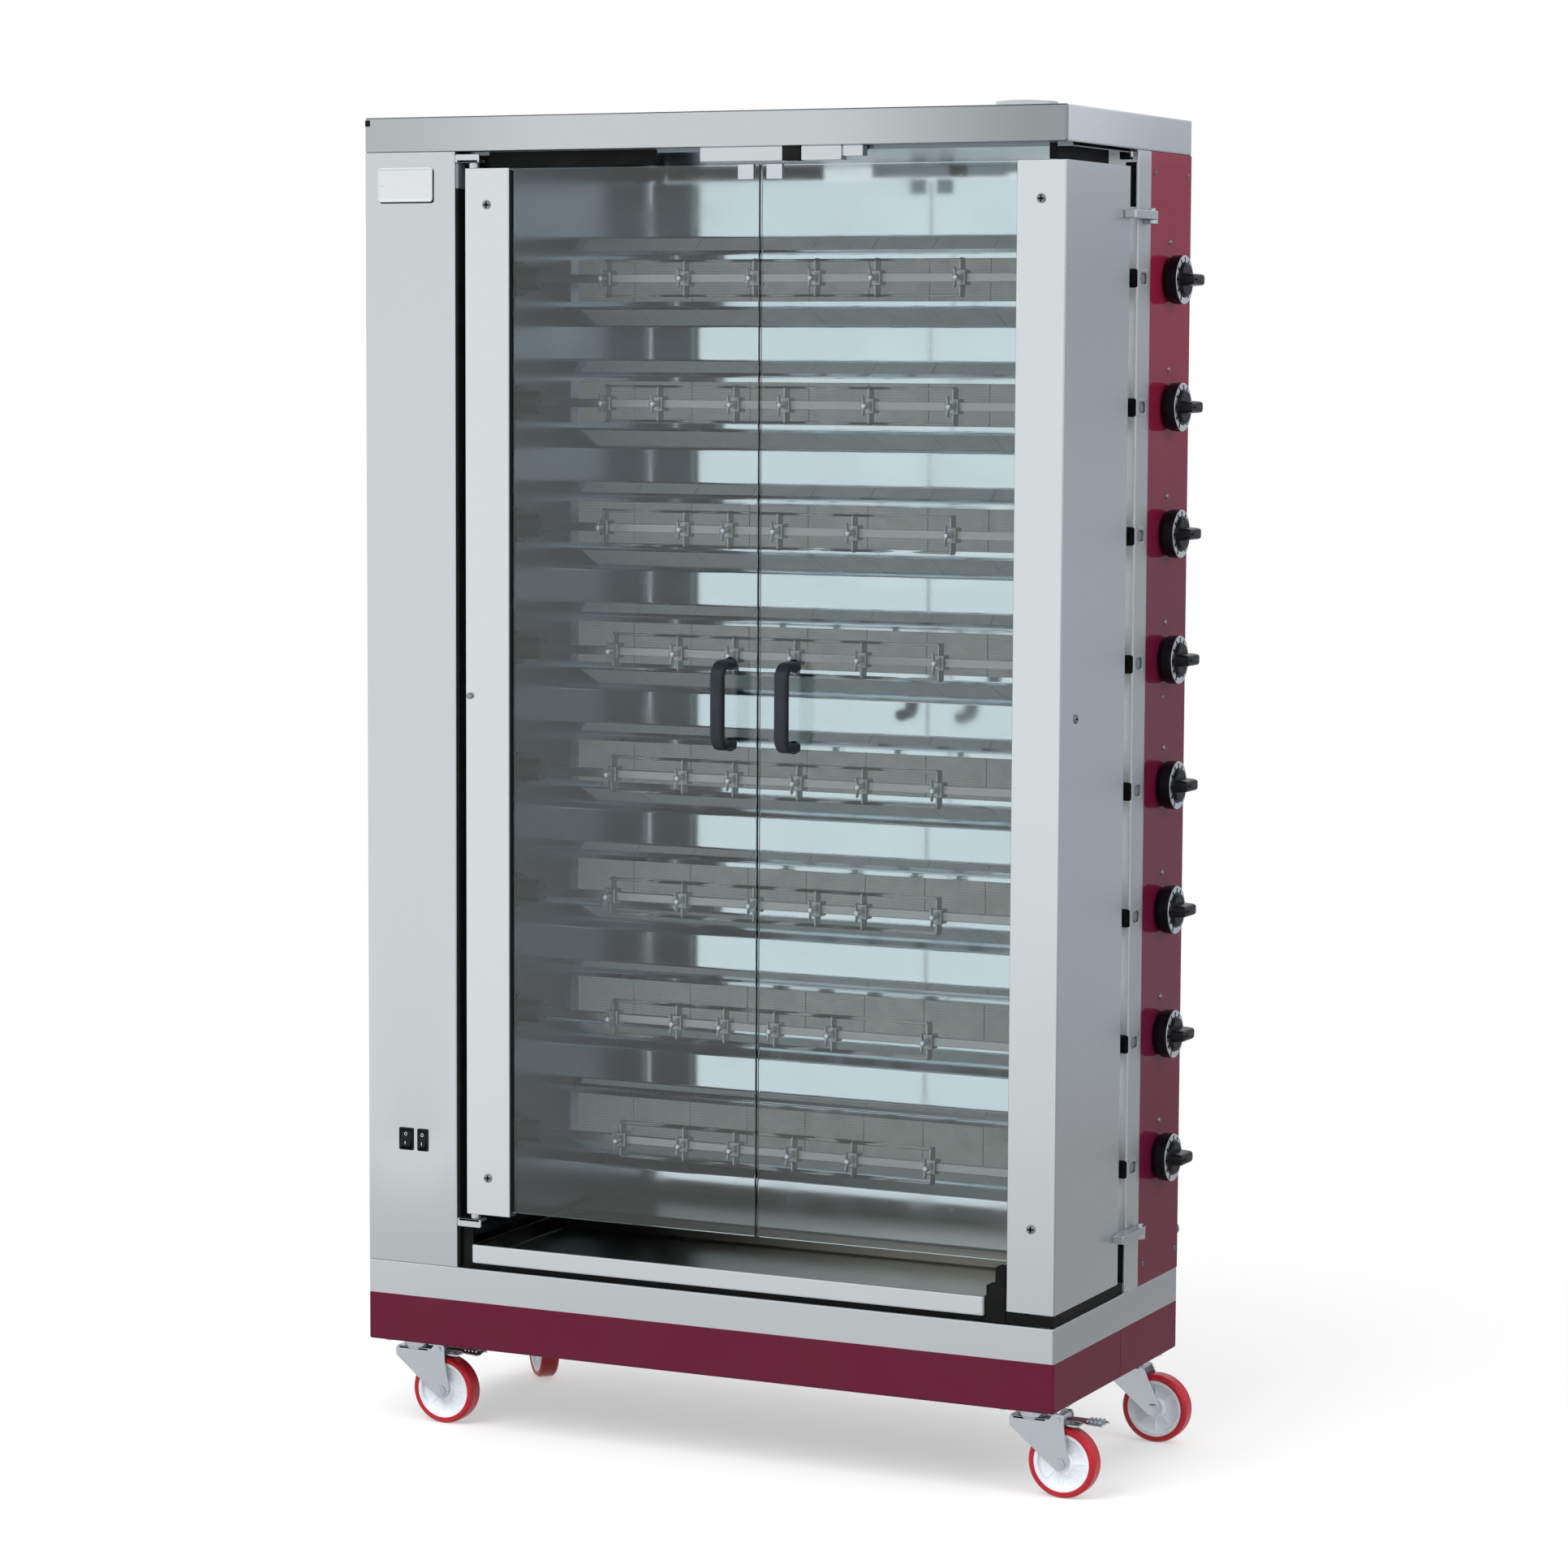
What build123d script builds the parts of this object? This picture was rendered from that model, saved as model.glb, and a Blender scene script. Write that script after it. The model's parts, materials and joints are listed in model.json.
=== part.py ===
from build123d import *
from math import cos, radians, sin
import os

os.makedirs("parts", exist_ok=True)

# Gas chicken rotisserie on castors, in millimetres.
# While the pieces are drawn, X runs to the right along the front, -Y points to the front, +Z up, and the
# origin is on the floor under the middle of the cabinet. save() moves everything so that the origin lies
# under the middle of the overall box.

# Clearances
running_gap = 0.05
seat_gap = 0.3
socket_play = 0.1

# Cabinet
cabinet_width = 1090.0
cabinet_depth = 480.0
plinth_height = 70.0
band_height = 50.0
canopy_height = 50.0
column_width = 149.0
sheet = 1.5
plinth_sheet = 2.0
plinth_shelf = 112.0
canopy_flange = 28.0

# Levels of spits and burners
level_count = 8
level_pitch = 180.3
first_level_drop = 178.0
last_level_rise = 177.9

# Castors
wheel_radius = 50.0
wheel_width = 28.0
tread_thickness = 8.0
tread_overhang = 1.0
tread_round = 3.0
hub_rim = 6.0
hub_boss_radius = 15.0
hub_recess = 6.0
castor_lead = 46.0
rear_left_turn = -48.0
castor_inset_x = 52.0
castor_inset_y = 59.0
castor_plate_length = 90.0
castor_plate_width = 70.0
castor_plate_thickness = 4.0
race_radius = 24.0
race_height = 12.0
kingpin_radius = 6.0
kingpin_head_radius = 9.0
kingpin_head_height = 3.5
crown_thickness = 4.2
crown_radius = 30.0
crown_clearance = 7.5
castor_leg = 3.0
leg_gap = 2.5
leg_back_drop = 14.0
leg_front_drop = 10.0
axle_radius = 5.0
axle_head_radius = 8.0
axle_head_height = 4.0
axle_boss_radius = 14.0

# Brake pedals on the two front castors
brake_pivot_x = 44.0
brake_pivot_rise = 0.5
brake_pin_radius = 3.0
brake_ear = 8.0
pedal_reach = 109.0
pedal_play = 1.5
pedal_barrel = 7.0
pedal_arm_width = 20.0
pedal_arm_up = 2.0
pedal_arm_down = 3.0
pedal_pad_length = 30.0
pedal_pad_width = 32.0
pedal_pad_lip = 2.0
shoe_length = 24.0
shoe_width = 24.0
shoe_thickness = 3.0
shoe_clearance = 2.0

# Chamber
liner_gap = 8.0
liner_front_inset = 25.0
ceiling_drop = 4.0
panel_inset = 176.0
recess_depth = 44.0
tile_half_height = 31.0
recess_edge = 8.5
upper_lip = 22.5
lower_lip = 28.5
tile_margin = 2.0
tile_thickness = 13.0
tile_inset_left = 4.5
tile_inset_right = 63.0
plaque_count = 9
plaque_joint = 0.8
burner_depth = 62.0
mixer_inset = 15.5
mixer_radius = 12.0
mixer_overlap = 3.8
mixer_wall = 1.5

# Spits
spit_reach = 130.0
rod_size = 12.0
rod_end_gap = 1.5
journal_radius = 8.0
collar_radius = 12.0
collar_width = 5.7
end_grip_radius = 10.0
end_grip_length = 11.0

# Forks on the spits, each place measured from the rod's driven end
fork_hub_width = 18.0
fork_hub_size = 22.0
fork_plate_height = 56.0
fork_plate_width = 18.0
fork_plate_thickness = 3.0
prong_radius = 1.8
prong_length = 60.0
prong_spread = 6.0
prong_rise = 25.0
screw_radius = 3.0
screw_shoulder = 5.0
screw_reach = 11.0
wing_span = 30.0
wing_depth = 12.0
wing_thickness = 3.2
fork_places = [
    (135, 262, 373, 470, 564, 694),
    (135, 220, 343, 423, 555, 685),
    (131, 263, 334, 413, 531, 683),
    (148, 253, 343, 441, 546, 666),
    (145, 261, 343, 446, 549, 665),
    (144, 261, 377, 476, 549, 666),
    (148, 253, 330, 411, 503, 653),
    (161, 264, 347, 441, 536, 659),
]

# Drive in the column
shaft_radius = 8.0
shaft_entry = 8.0
socket_lead = 2.5
socket_radius = 17.0
socket_length = 34.0
socket_flange_radius = 25.0
socket_flange_width = 3.0
socket_depth = 28.0
bush_radius = 11.0
bush_flange_radius = 17.0
bush_flange_width = 3.5
sprocket_teeth = 16
sprocket_root_radius = 29.0
sprocket_tip_radius = 36.0
sprocket_width = 8.0
sprocket_gap = 12.5
chain_depth = 9.0
rail_thickness = 6.0
rail_half_width = 30.0
rail_room = 90.0
rail_overrun = 60.0
gearbox_gap = 2.5
gearbox_width = 96.0
gearbox_height = 84.0
gearbox_floor = 1.0
motor_radius = 33.0
motor_length = 136.0

# Gas side
tap_radius = 11.0
tap_length = 25.0
tap_neck_radius = 7.5
tap_neck_length = 2.5
injector_radius = 4.0
injector_length = 12.0
saddle_width = 16.0
saddle_grip = 6.0
spindle_radius = 4.0
spindle_depth = 20.0
spindle_hole_radius = 6.0
gas_pipe_radius = 10.65
gas_pipe_wall = 2.65
gas_pipe_offset = 26.0
gas_pipe_overrun = 30.0
inlet_rise = 52.0
inlet_reach = 25.0
inlet_thread_radius = 10.48
inlet_thread_length = 18.0
inlet_hole_radius = 13.0

# Knobs
knob_gap = 2.0
knob_radius = 35.0
knob_skirt = 20.0
knob_edge = 1.5
knob_ring_width = 10.0
knob_ring_height = 1.5
knob_boss_height = 6.0
knob_reach = 45.0
knob_bar_length = 52.0
knob_bar_width = 18.0
stud_rise = 53.0
stud_radius = 4.0
stud_height = 2.5

# Corner post and spit rests
post_offset = 33.0
post_depth = 48.0
post_flange = 48.0
port_width = 22.0
port_height = 26.0
port_edge = 4.0
slot_length = 28.0
slot_height = 16.0
slot_inset = 9.0
notch_width = 16.0
notch_height = 62.0
notch_drop = 17.0
rest_inset = 1.0
rest_thickness = 3.0
rest_spine = 26.0
rest_arm_depth = 22.0
rest_arm_rise = 6.0
rest_nose = 8.0
rest_play = 0.1
rest_overrun = 90.0

# Doors
door_top_gap = 24.0
door_depth = 22.0
door_cap = 3.0
stile_width = 72.0
stile_gap = 16.0
left_stile_rise = 81.0
right_stile_rise = 18.0
glass_thickness = 6.0
glass_inset = 5.0
glass_top_drop = 1.0
glass_foot = 6.0
meeting_shift = 4.5
meeting_gap = 3.0
clamp_overlap = 28.0
clamp_tail = 16.0
return_gap = 31.0
return_depth = 21.5
door_screw_radius = 5.0
door_screw_head = 2.5
door_screw_shank = 2.5
door_screw_length = 4.5
door_screw_drop = 52.0
door_screw_rise = 55.0

# Door hinges
left_pin_radius = 4.0
left_pin_inset = 10.0
left_bracket_gap = 8.0
left_bracket_thickness = 4.0
left_bracket_width = 20.0
left_bracket_margin = 13.0
left_bracket_lip = 12.0
left_bracket_fold = 3.0
pin_overrun = 2.0
spacer_radius = 8.0
right_pin_radius = 5.0
right_pin_out = 9.2
right_pin_offset = 28.0
right_pin_overrun = 4.0
upper_arm_drop = 60.0
lower_arm_rise = 75.0
arm_thickness = 12.0
arm_half_width = 8.5
arm_weld_length = 24.0
lug_thickness = 6.0

# Handles and catches
handle_length = 128.0
handle_width = 20.0
handle_reach = 46.0
handle_bar = 12.0
handle_foot = 14.0
handle_corner = 22.0
handle_round = 4.0
handle_shift = 2.0
left_handle_offset = 44.0
right_handle_offset = 55.0
washer_radius = 8.0
washer_thickness = 4.0
strike_offset = 22.0
strike_width = 24.0
strike_height = 20.0
strike_wall = 1.5
catch_width = 64.0
catch_depth = 20.0
catch_height = 20.0

# Switches and name-plate, with each switch's distance from the column's left edge and its width
switch_places = [(64.5, 24.0), (92.0, 18.0)]
switch_height = 33.0
switch_rise = 183.5
switch_bezel = 2.0
switch_frame = 2.2
switch_wall = 0.8
switch_step = 1.0
switch_body_depth = 28.0
switch_well_depth = 16.0
rocker_pivot_depth = 5.0
rocker_tilt = 8.0
rocker_crest = 9.5
rocker_dip = 7.0
rocker_half_height = 12.0
rocker_back = 4.0
rocker_pin_radius = 1.5
nameplate_inset = 23.0
nameplate_width = 90.0
nameplate_height = 49.0
nameplate_drop = 22.0
nameplate_thickness = 1.0

# Cable gland in the column's back
gland_inset = 75.0
gland_rise = 52.0
gland_radius = 12.0
gland_bore_radius = 5.0
gland_nut_radius = 15.0
gland_nut_length = 6.0
gland_reach = 22.0
gland_inside = 15.0

# Drip tray and its runners
tray_gap_left = 14.5
tray_gap_right = 33.0
tray_gap_back = 9.0
tray_rise = 8.0
tray_height = 28.0
runner_ledge = 24.0
runner_wall = 8.0
runner_clearance = 2.0
runner_height = 27.0

# Flue
flue_inset_x = 215.0
flue_inset_y = 100.0
flue_radius = 45.0
flue_wall = 1.5
flue_rise = 26.0
flue_flange_radius = 60.0

# Vents in the back panel
vent_columns = 5
vent_length = 90.0
vent_height = 8.0
vent_space = 60.0

# Heights worked out from the sizes above
wheel_axle_z = wheel_radius
crown_bottom = wheel_radius * 2 + crown_clearance
crown_top = crown_bottom + crown_thickness
race_bottom = crown_top + seat_gap
plate_bottom = race_bottom + race_height
plinth_bottom = plate_bottom + castor_plate_thickness
band_bottom = plinth_bottom + plinth_height
deck_top = band_bottom + band_height
last_level = deck_top + last_level_rise
first_level = last_level + level_pitch * (level_count - 1)
canopy_bottom = first_level + first_level_drop
canopy_top = canopy_bottom + canopy_height
levels = [first_level - level_pitch * index for index in range(level_count)]
liner_top = canopy_bottom - ceiling_drop
ceiling = liner_top - sheet
door_top = canopy_bottom - door_top_gap
left_stile_bottom = deck_top + left_stile_rise
right_stile_bottom = deck_top + right_stile_rise
glass_bottom = left_stile_bottom + glass_foot
glass_top = door_top - glass_top_drop
handle_middle = (glass_bottom + glass_top) / 2 + handle_shift
upper_arm_top = door_top - upper_arm_drop
lower_arm_top = right_stile_bottom + lower_arm_rise
door_screw_levels = (door_top - door_screw_drop, left_stile_bottom + door_screw_rise)
handle_screw_reach = (handle_length - handle_foot) / 2
handle_screw_levels = (handle_middle - handle_screw_reach, handle_middle + handle_screw_reach)
brake_pivot_z = crown_top + brake_pivot_rise
tray_bottom = deck_top + tray_rise
switch_level = deck_top + switch_rise
gland_level = deck_top + gland_rise
inlet_level = deck_top + inlet_rise

# Places across the width
left = -cabinet_width / 2
right = cabinet_width / 2
column_right = left + column_width
liner_left = column_right + liner_gap
chamber_left = liner_left + sheet
chamber_right = right - sheet
tile_left = chamber_left + tile_inset_left
tile_right = right - tile_inset_right
plaque_length = (tile_right - tile_left) / plaque_count
box_left = tile_left - seat_gap - sheet
box_right = tile_right + seat_gap + sheet
tap_end = chamber_right - tap_neck_length
tap_start = tap_end - tap_length
gas_pipe_x = tap_start + tap_length / 2
mixer_end = tap_start - injector_length + mixer_overlap
knob_back = right + knob_gap
knob_face = knob_back + knob_skirt
knob_tip = right + knob_reach
post_left = right - post_flange
rest_left = post_left + rest_inset
rest_right = rest_left + rest_thickness
journal_start = rest_left - seat_gap - collar_width
grip_start = rest_right + seat_gap + collar_width
spit_end = grip_start + end_grip_length
socket_start = chamber_left + socket_lead
socket_end = socket_start + socket_flange_width + socket_length
rod_start = socket_end - socket_depth + rod_end_gap
rail_right = column_right - rail_room
rail_left = rail_right - rail_thickness
gearbox_left = left + sheet + gearbox_gap
shaft_start = rail_left - shaft_entry
sprocket_left = rail_right + bush_flange_width + sprocket_gap
sprocket_right = sprocket_left + sprocket_width
left_stile_left = column_right + stile_gap
left_stile_right = left_stile_left + stile_width
right_stile_left = right - stile_width
return_inner = right - return_depth
meeting_x = (left_stile_left + right) / 2 + meeting_shift
left_glass_edge = left_stile_right - clamp_overlap
right_glass_edge = right_stile_left + clamp_overlap
left_pin_x = left_stile_left + left_pin_inset
right_pin_x = right + right_pin_out
tray_left = chamber_left + tray_gap_left
tray_right = right_stile_left - tray_gap_right
flue_x = right - flue_inset_x
gland_x = left + gland_inset

# Places across the depth
front = -cabinet_depth / 2
back = cabinet_depth / 2
liner_front = front + liner_front_inset
panel_y = back - panel_inset
recess_y = panel_y + recess_depth
tile_y = recess_y + sheet
box_back = tile_y + burner_depth
tap_y = box_back - mixer_inset
gas_pipe_y = tap_y + gas_pipe_offset
spit_y = panel_y - spit_reach
post_y = panel_y - post_offset
post_back = post_y + post_depth
door_back = front + door_depth
return_back = post_y - return_gap
glass_front = front + glass_inset
glass_back = glass_front + glass_thickness
left_pin_y = front + door_depth / 2
right_pin_y = post_y + right_pin_offset
handle_front = glass_front - handle_reach
tray_back = panel_y - tray_gap_back
flue_y = back - flue_inset_y

# Castors, each with its name, place, whether it has a brake and how far it is swung round
castor_x = cabinet_width / 2 - castor_inset_x
castor_y = cabinet_depth / 2 - castor_inset_y
castors = [
    ("front_left", -castor_x, -castor_y, True, 0.0),
    ("front_right", castor_x, -castor_y, True, 0.0),
    ("rear_left", -castor_x, castor_y, False, rear_left_turn),
    ("rear_right", castor_x, castor_y, False, 0.0),
]
leg_inner = wheel_width / 2 + leg_gap
leg_outer = leg_inner + castor_leg

# Middle of the overall box
origin_x = (left + max(castor_x + pedal_reach, knob_tip)) / 2
origin_y = (handle_front + back + inlet_reach) / 2


def block(x0, x1, y0, y1, z0, z1):
    middle = Pos((x0 + x1) / 2, (y0 + y1) / 2, (z0 + z1) / 2)
    return middle * Box(abs(x1 - x0), abs(y1 - y0), abs(z1 - z0))


def bar_x(x0, x1, y, z, radius):
    return Pos((x0 + x1) / 2, y, z) * Rot(0, 90, 0) * Cylinder(radius, abs(x1 - x0))


def bar_y(x, y0, y1, z, radius):
    return Pos(x, (y0 + y1) / 2, z) * Rot(90, 0, 0) * Cylinder(radius, abs(y1 - y0))


def bar_z(x, y, z0, z1, radius):
    return Pos(x, y, (z0 + z1) / 2) * Cylinder(radius, abs(z1 - z0))


def prism_x(outline, x0, x1):
    plane = Plane(origin=(x0, 0, 0), x_dir=(0, 1, 0), z_dir=(1, 0, 0))
    return extrude(plane * make_face(Polyline(*outline, close=True)), x1 - x0)


def prism_y(outline, y0, y1):
    plane = Plane(origin=(0, y1, 0), x_dir=(1, 0, 0), z_dir=(0, -1, 0))
    return extrude(plane * make_face(Polyline(*outline, close=True)), y1 - y0)


def prism_z(outline, z0, z1):
    return extrude(Pos(0, 0, z0) * make_face(Polyline(*outline, close=True)), z1 - z0)


def save(name, shapes):
    solids = []
    for shape in shapes:
        solids.extend((Pos(-origin_x, -origin_y, 0) * shape).solids())
    export_step(Compound(children=solids), "parts/" + name + ".step")


# Base, canopy and panels

def make_plinth():
    outer = block(left, right, front, back, plinth_bottom, band_bottom)
    room = block(left + plinth_sheet, right - plinth_sheet, front + plinth_sheet, back - plinth_sheet,
                 plinth_bottom + plinth_sheet, band_bottom)
    opening = block(left + plinth_shelf, right - plinth_shelf, front + plinth_shelf, back - plinth_shelf,
                    plinth_bottom, plinth_bottom + plinth_sheet)
    return outer - room - opening


def make_band():
    outer = block(left, right, front, back, band_bottom, deck_top)
    room = block(left + sheet, right - sheet, front + sheet, back - sheet, band_bottom, deck_top - sheet)
    return outer - room


def make_canopy():
    outer = block(left, right, front, back, canopy_bottom, canopy_top)
    room = block(left + sheet, right - sheet, front + sheet, back - sheet,
                 canopy_bottom + sheet, canopy_top - sheet)
    opening = block(left + canopy_flange, right - canopy_flange, front + canopy_flange, back - canopy_flange,
                    canopy_bottom, canopy_bottom + sheet)
    hole = bar_z(flue_x, flue_y, canopy_top - sheet, canopy_top, flue_radius + seat_gap)
    return outer - room - opening - hole


def make_flue_collar():
    top = canopy_top + flue_rise
    outer = bar_z(flue_x, flue_y, ceiling, top, flue_radius)
    flange = bar_z(flue_x, flue_y, canopy_top, canopy_top + flue_wall, flue_flange_radius)
    return outer + flange - bar_z(flue_x, flue_y, ceiling, top, flue_radius - flue_wall)


def make_column():
    casing = block(left, column_right, front, back, deck_top, canopy_bottom)
    casing -= block(left + sheet, column_right - sheet, front + sheet, back - sheet, deck_top, canopy_bottom)
    for level in levels:
        casing -= bar_x(column_right - sheet, column_right, spit_y, level, bush_radius)
    for place, width in switch_places:
        half_width = width / 2 - switch_frame + seat_gap
        half_height = switch_height / 2 - switch_step + seat_gap
        x = left + place
        casing -= block(x - half_width, x + half_width, front, front + sheet,
                        switch_level - half_height, switch_level + half_height)
    casing -= bar_y(gland_x, back - sheet, back, gland_level, gland_radius)
    plate_left = left + nameplate_inset
    plate_top = canopy_bottom - nameplate_drop
    plate = block(plate_left, plate_left + nameplate_width, front - nameplate_thickness, front,
                  plate_top - nameplate_height, plate_top)
    return [casing, plate]


def make_back_panel():
    panel = block(column_right, chamber_right, back - sheet, back, deck_top, canopy_bottom)
    panel -= bar_y(gas_pipe_x, back - sheet, back, inlet_level, inlet_hole_radius)
    pitch = vent_length + vent_space
    row_length = pitch * (vent_columns - 1) + vent_length
    first = (column_right + chamber_right - row_length) / 2
    for level in levels:
        for column in range(vent_columns):
            x = first + pitch * column
            panel -= block(x, x + vent_length, back - sheet, back, level, level + vent_height)
    return panel


def make_tap_panel():
    panel = block(chamber_right, right, post_back, back, deck_top, canopy_bottom)
    for level in levels:
        panel -= bar_x(chamber_right, right, tap_y, level, spindle_hole_radius)
    return panel


# Chamber

def make_liner():
    lip_back = liner_front + sheet
    wall = block(liner_left, chamber_left, liner_front, tile_y, deck_top, ceiling)
    wall += block(column_right, liner_left, liner_front, lip_back, deck_top, ceiling)
    for level in levels:
        wall -= bar_x(liner_left, chamber_left, spit_y, level, bush_radius + seat_gap)
    roof = block(column_right, chamber_right, liner_front, back - sheet, ceiling, liner_top)
    roof += block(column_right, chamber_right, liner_front, lip_back, liner_top, canopy_bottom)
    roof -= bar_z(flue_x, flue_y, ceiling, liner_top, flue_radius + seat_gap)
    roof -= block(post_left - seat_gap, chamber_right, post_y - seat_gap, post_y + sheet + seat_gap,
                  ceiling, liner_top)
    return [wall, roof, make_runner(tray_left, -1), make_runner(tray_right, 1)]


def make_runner(edge, side):
    guide = edge + side * runner_clearance
    outer = guide + side * runner_wall
    inner = outer - side * runner_ledge
    ledge = block(inner, outer, door_back, tray_back, deck_top, tray_bottom - seat_gap)
    return ledge + block(guide, outer, door_back, tray_back, deck_top, deck_top + runner_height)


def make_reflector():
    edge = tile_half_height + recess_edge
    profile = [(panel_y, ceiling)]
    for level in levels:
        profile.append((panel_y, level + edge + upper_lip))
        profile.append((recess_y, level + edge))
        profile.append((recess_y, level - edge))
        profile.append((panel_y, level - edge - lower_lip))
    profile.append((panel_y, deck_top))
    behind = [(y + sheet, z) for y, z in reversed(profile)]
    panel = prism_x(profile + behind, chamber_left, chamber_right)
    for level in levels:
        panel -= block(tile_left + tile_margin, tile_right - tile_margin, recess_y, tile_y,
                       level - tile_half_height, level + tile_half_height)
    return panel


def make_tile_row(level):
    half = tile_half_height + tile_margin
    row = block(tile_left, tile_right, tile_y, tile_y + tile_thickness, level - half, level + half)
    for joint in range(1, plaque_count):
        x = tile_left + plaque_length * joint
        row -= block(x - plaque_joint / 2, x + plaque_joint / 2, tile_y, tile_y + plaque_joint,
                     level - half, level + half)
    return row


def make_burner(level):
    inner = tile_half_height + tile_margin + seat_gap
    outer = inner + sheet
    case = block(box_left, box_right, tile_y, box_back, level - outer, level + outer)
    case -= block(box_left + sheet, box_right - sheet, tile_y, box_back - sheet, level - inner, level + inner)
    case += bar_x(box_right - sheet, mixer_end, tap_y, level, mixer_radius)
    return case - bar_x(box_right - sheet, mixer_end, tap_y, level, mixer_radius - mixer_wall)


# Gas pipe, taps and knobs

def make_pipe(radius, top):
    pipe = bar_z(gas_pipe_x, gas_pipe_y, inlet_level, top, radius)
    pipe += bar_y(gas_pipe_x, gas_pipe_y, back + inlet_reach - inlet_thread_length, inlet_level, radius)
    return pipe + Pos(gas_pipe_x, gas_pipe_y, inlet_level) * Sphere(radius)


def make_gas_rail():
    top = levels[0] + gas_pipe_overrun
    bore_radius = gas_pipe_radius - gas_pipe_wall
    inlet_end = back + inlet_reach
    pipe = make_pipe(gas_pipe_radius, top)
    pipe += bar_y(gas_pipe_x, gas_pipe_y, inlet_end, inlet_level, inlet_thread_radius)
    pipe -= make_pipe(bore_radius, top - gas_pipe_wall)
    pipe -= bar_y(gas_pipe_x, gas_pipe_y, inlet_end, inlet_level, bore_radius)
    outside = bar_z(gas_pipe_x, gas_pipe_y, inlet_level, top, gas_pipe_radius)
    return [pipe] + [make_tap(level, outside) for level in levels]


def make_tap(level, outside):
    half = saddle_width / 2
    tap = bar_x(tap_start, tap_end, tap_y, level, tap_radius)
    tap += bar_x(tap_end, chamber_right, tap_y, level, tap_neck_radius)
    tap += bar_x(tap_start - injector_length, tap_start, tap_y, level, injector_radius)
    tap += block(gas_pipe_x - half, gas_pipe_x + half, tap_y, gas_pipe_y - saddle_grip,
                 level - half, level + half)
    tap -= outside
    return tap - bar_x(tap_end - spindle_depth, chamber_right, tap_y, level, spindle_radius + running_gap)


def make_knob(level):
    inner = knob_radius - knob_ring_width
    boss_end = knob_face + knob_boss_height
    grip = bar_x(knob_back, knob_face, tap_y, level, knob_radius)
    grip = chamfer(grip.edges().filter_by(GeomType.CIRCLE).sort_by(Axis.X)[0], knob_edge)
    grip += bar_x(knob_face, boss_end, tap_y, level, inner)
    grip += block(knob_face, knob_tip, tap_y - knob_bar_length / 2, tap_y + knob_bar_length / 2,
                  level - knob_bar_width / 2, level + knob_bar_width / 2)
    grip -= bar_x(knob_back, boss_end, tap_y, level, spindle_radius)
    ring = bar_x(knob_face, knob_face + knob_ring_height, tap_y, level, knob_radius)
    ring -= bar_x(knob_face, knob_face + knob_ring_height, tap_y, level, inner)
    ring -= grip
    spindle = bar_x(tap_end - spindle_depth + seat_gap, boss_end, tap_y, level, spindle_radius)
    return [grip, ring, spindle]


# Corner post with the spit rests

def make_corner_post():
    post = block(post_left, right, post_y, post_y + sheet, deck_top, canopy_bottom)
    post += block(chamber_right, right, post_y, post_back, deck_top, canopy_bottom)
    port_right = right - port_edge
    slot_radius = slot_height / 2
    slot_start = post_y + slot_inset + slot_radius
    slot_end = post_y + slot_inset + slot_length - slot_radius
    for level in levels:
        post -= block(port_right - port_width, port_right, post_y, post_y + sheet,
                      level - port_height / 2, level + port_height / 2)
        slot = block(chamber_right, right, slot_start, slot_end, level - slot_radius, level + slot_radius)
        slot += bar_x(chamber_right, right, slot_start, level, slot_radius)
        slot += bar_x(chamber_right, right, slot_end, level, slot_radius)
        post -= slot
    notch_top = canopy_bottom - notch_drop
    post -= block(port_right - notch_width, port_right, post_y, post_y + sheet,
                  notch_top - notch_height, notch_top)
    return [post, make_rest_comb()]


def make_rest_comb():
    spine_front = post_y - rest_spine
    slot_radius = journal_radius + rest_play
    arm_front = spit_y - slot_radius - rest_nose
    comb = block(rest_left, rest_right, spine_front, post_y, levels[-1] - rest_overrun,
                 levels[0] + rest_overrun)
    for level in levels:
        comb += block(rest_left, rest_right, arm_front, spine_front,
                      level - rest_arm_depth, level + rest_arm_rise)
    for level in levels:
        comb -= bar_x(rest_left, rest_right, spit_y, level, slot_radius)
        comb -= block(rest_left, rest_right, spit_y - slot_radius, spit_y + slot_radius,
                      level, level + rest_arm_rise)
    return comb


# Spits

def make_spit(level, places):
    half = rod_size / 2
    rod = block(rod_start, journal_start, spit_y - half, spit_y + half, level - half, level + half)
    rod += bar_x(journal_start, spit_end, spit_y, level, journal_radius)
    rod += bar_x(journal_start, journal_start + collar_width, spit_y, level, collar_radius)
    rod += bar_x(grip_start - collar_width, grip_start, spit_y, level, collar_radius)
    rod += bar_x(grip_start, spit_end, spit_y, level, end_grip_radius)
    pieces = [rod]
    for index, place in enumerate(places):
        x = rod_start + place
        pieces.append(make_fork(x, level, index > 0, index < len(places) - 1))
        pieces.append(make_wing_screw(x, level))
    return pieces


def make_fork(x, level, to_left, to_right):
    half = fork_hub_size / 2
    fork = block(x - fork_hub_width / 2, x + fork_hub_width / 2, spit_y - half, spit_y + half,
                 level - half, level + half)
    fork += block(x - fork_plate_thickness / 2, x + fork_plate_thickness / 2,
                  spit_y - fork_plate_width / 2, spit_y + fork_plate_width / 2,
                  level - fork_plate_height / 2, level + fork_plate_height / 2)
    start = x - prong_length if to_left else x
    end = x + prong_length if to_right else x
    for y in (spit_y - prong_spread, spit_y + prong_spread):
        for z in (level - prong_rise, level + prong_rise):
            fork += bar_x(start, end, y, z, prong_radius)
    hole = rod_size / 2 + socket_play
    fork -= block(x - fork_hub_width / 2, x + fork_hub_width / 2, spit_y - hole, spit_y + hole,
                  level - hole, level + hole)
    return fork - bar_y(x, spit_y - half, spit_y, level, screw_radius)


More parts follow.
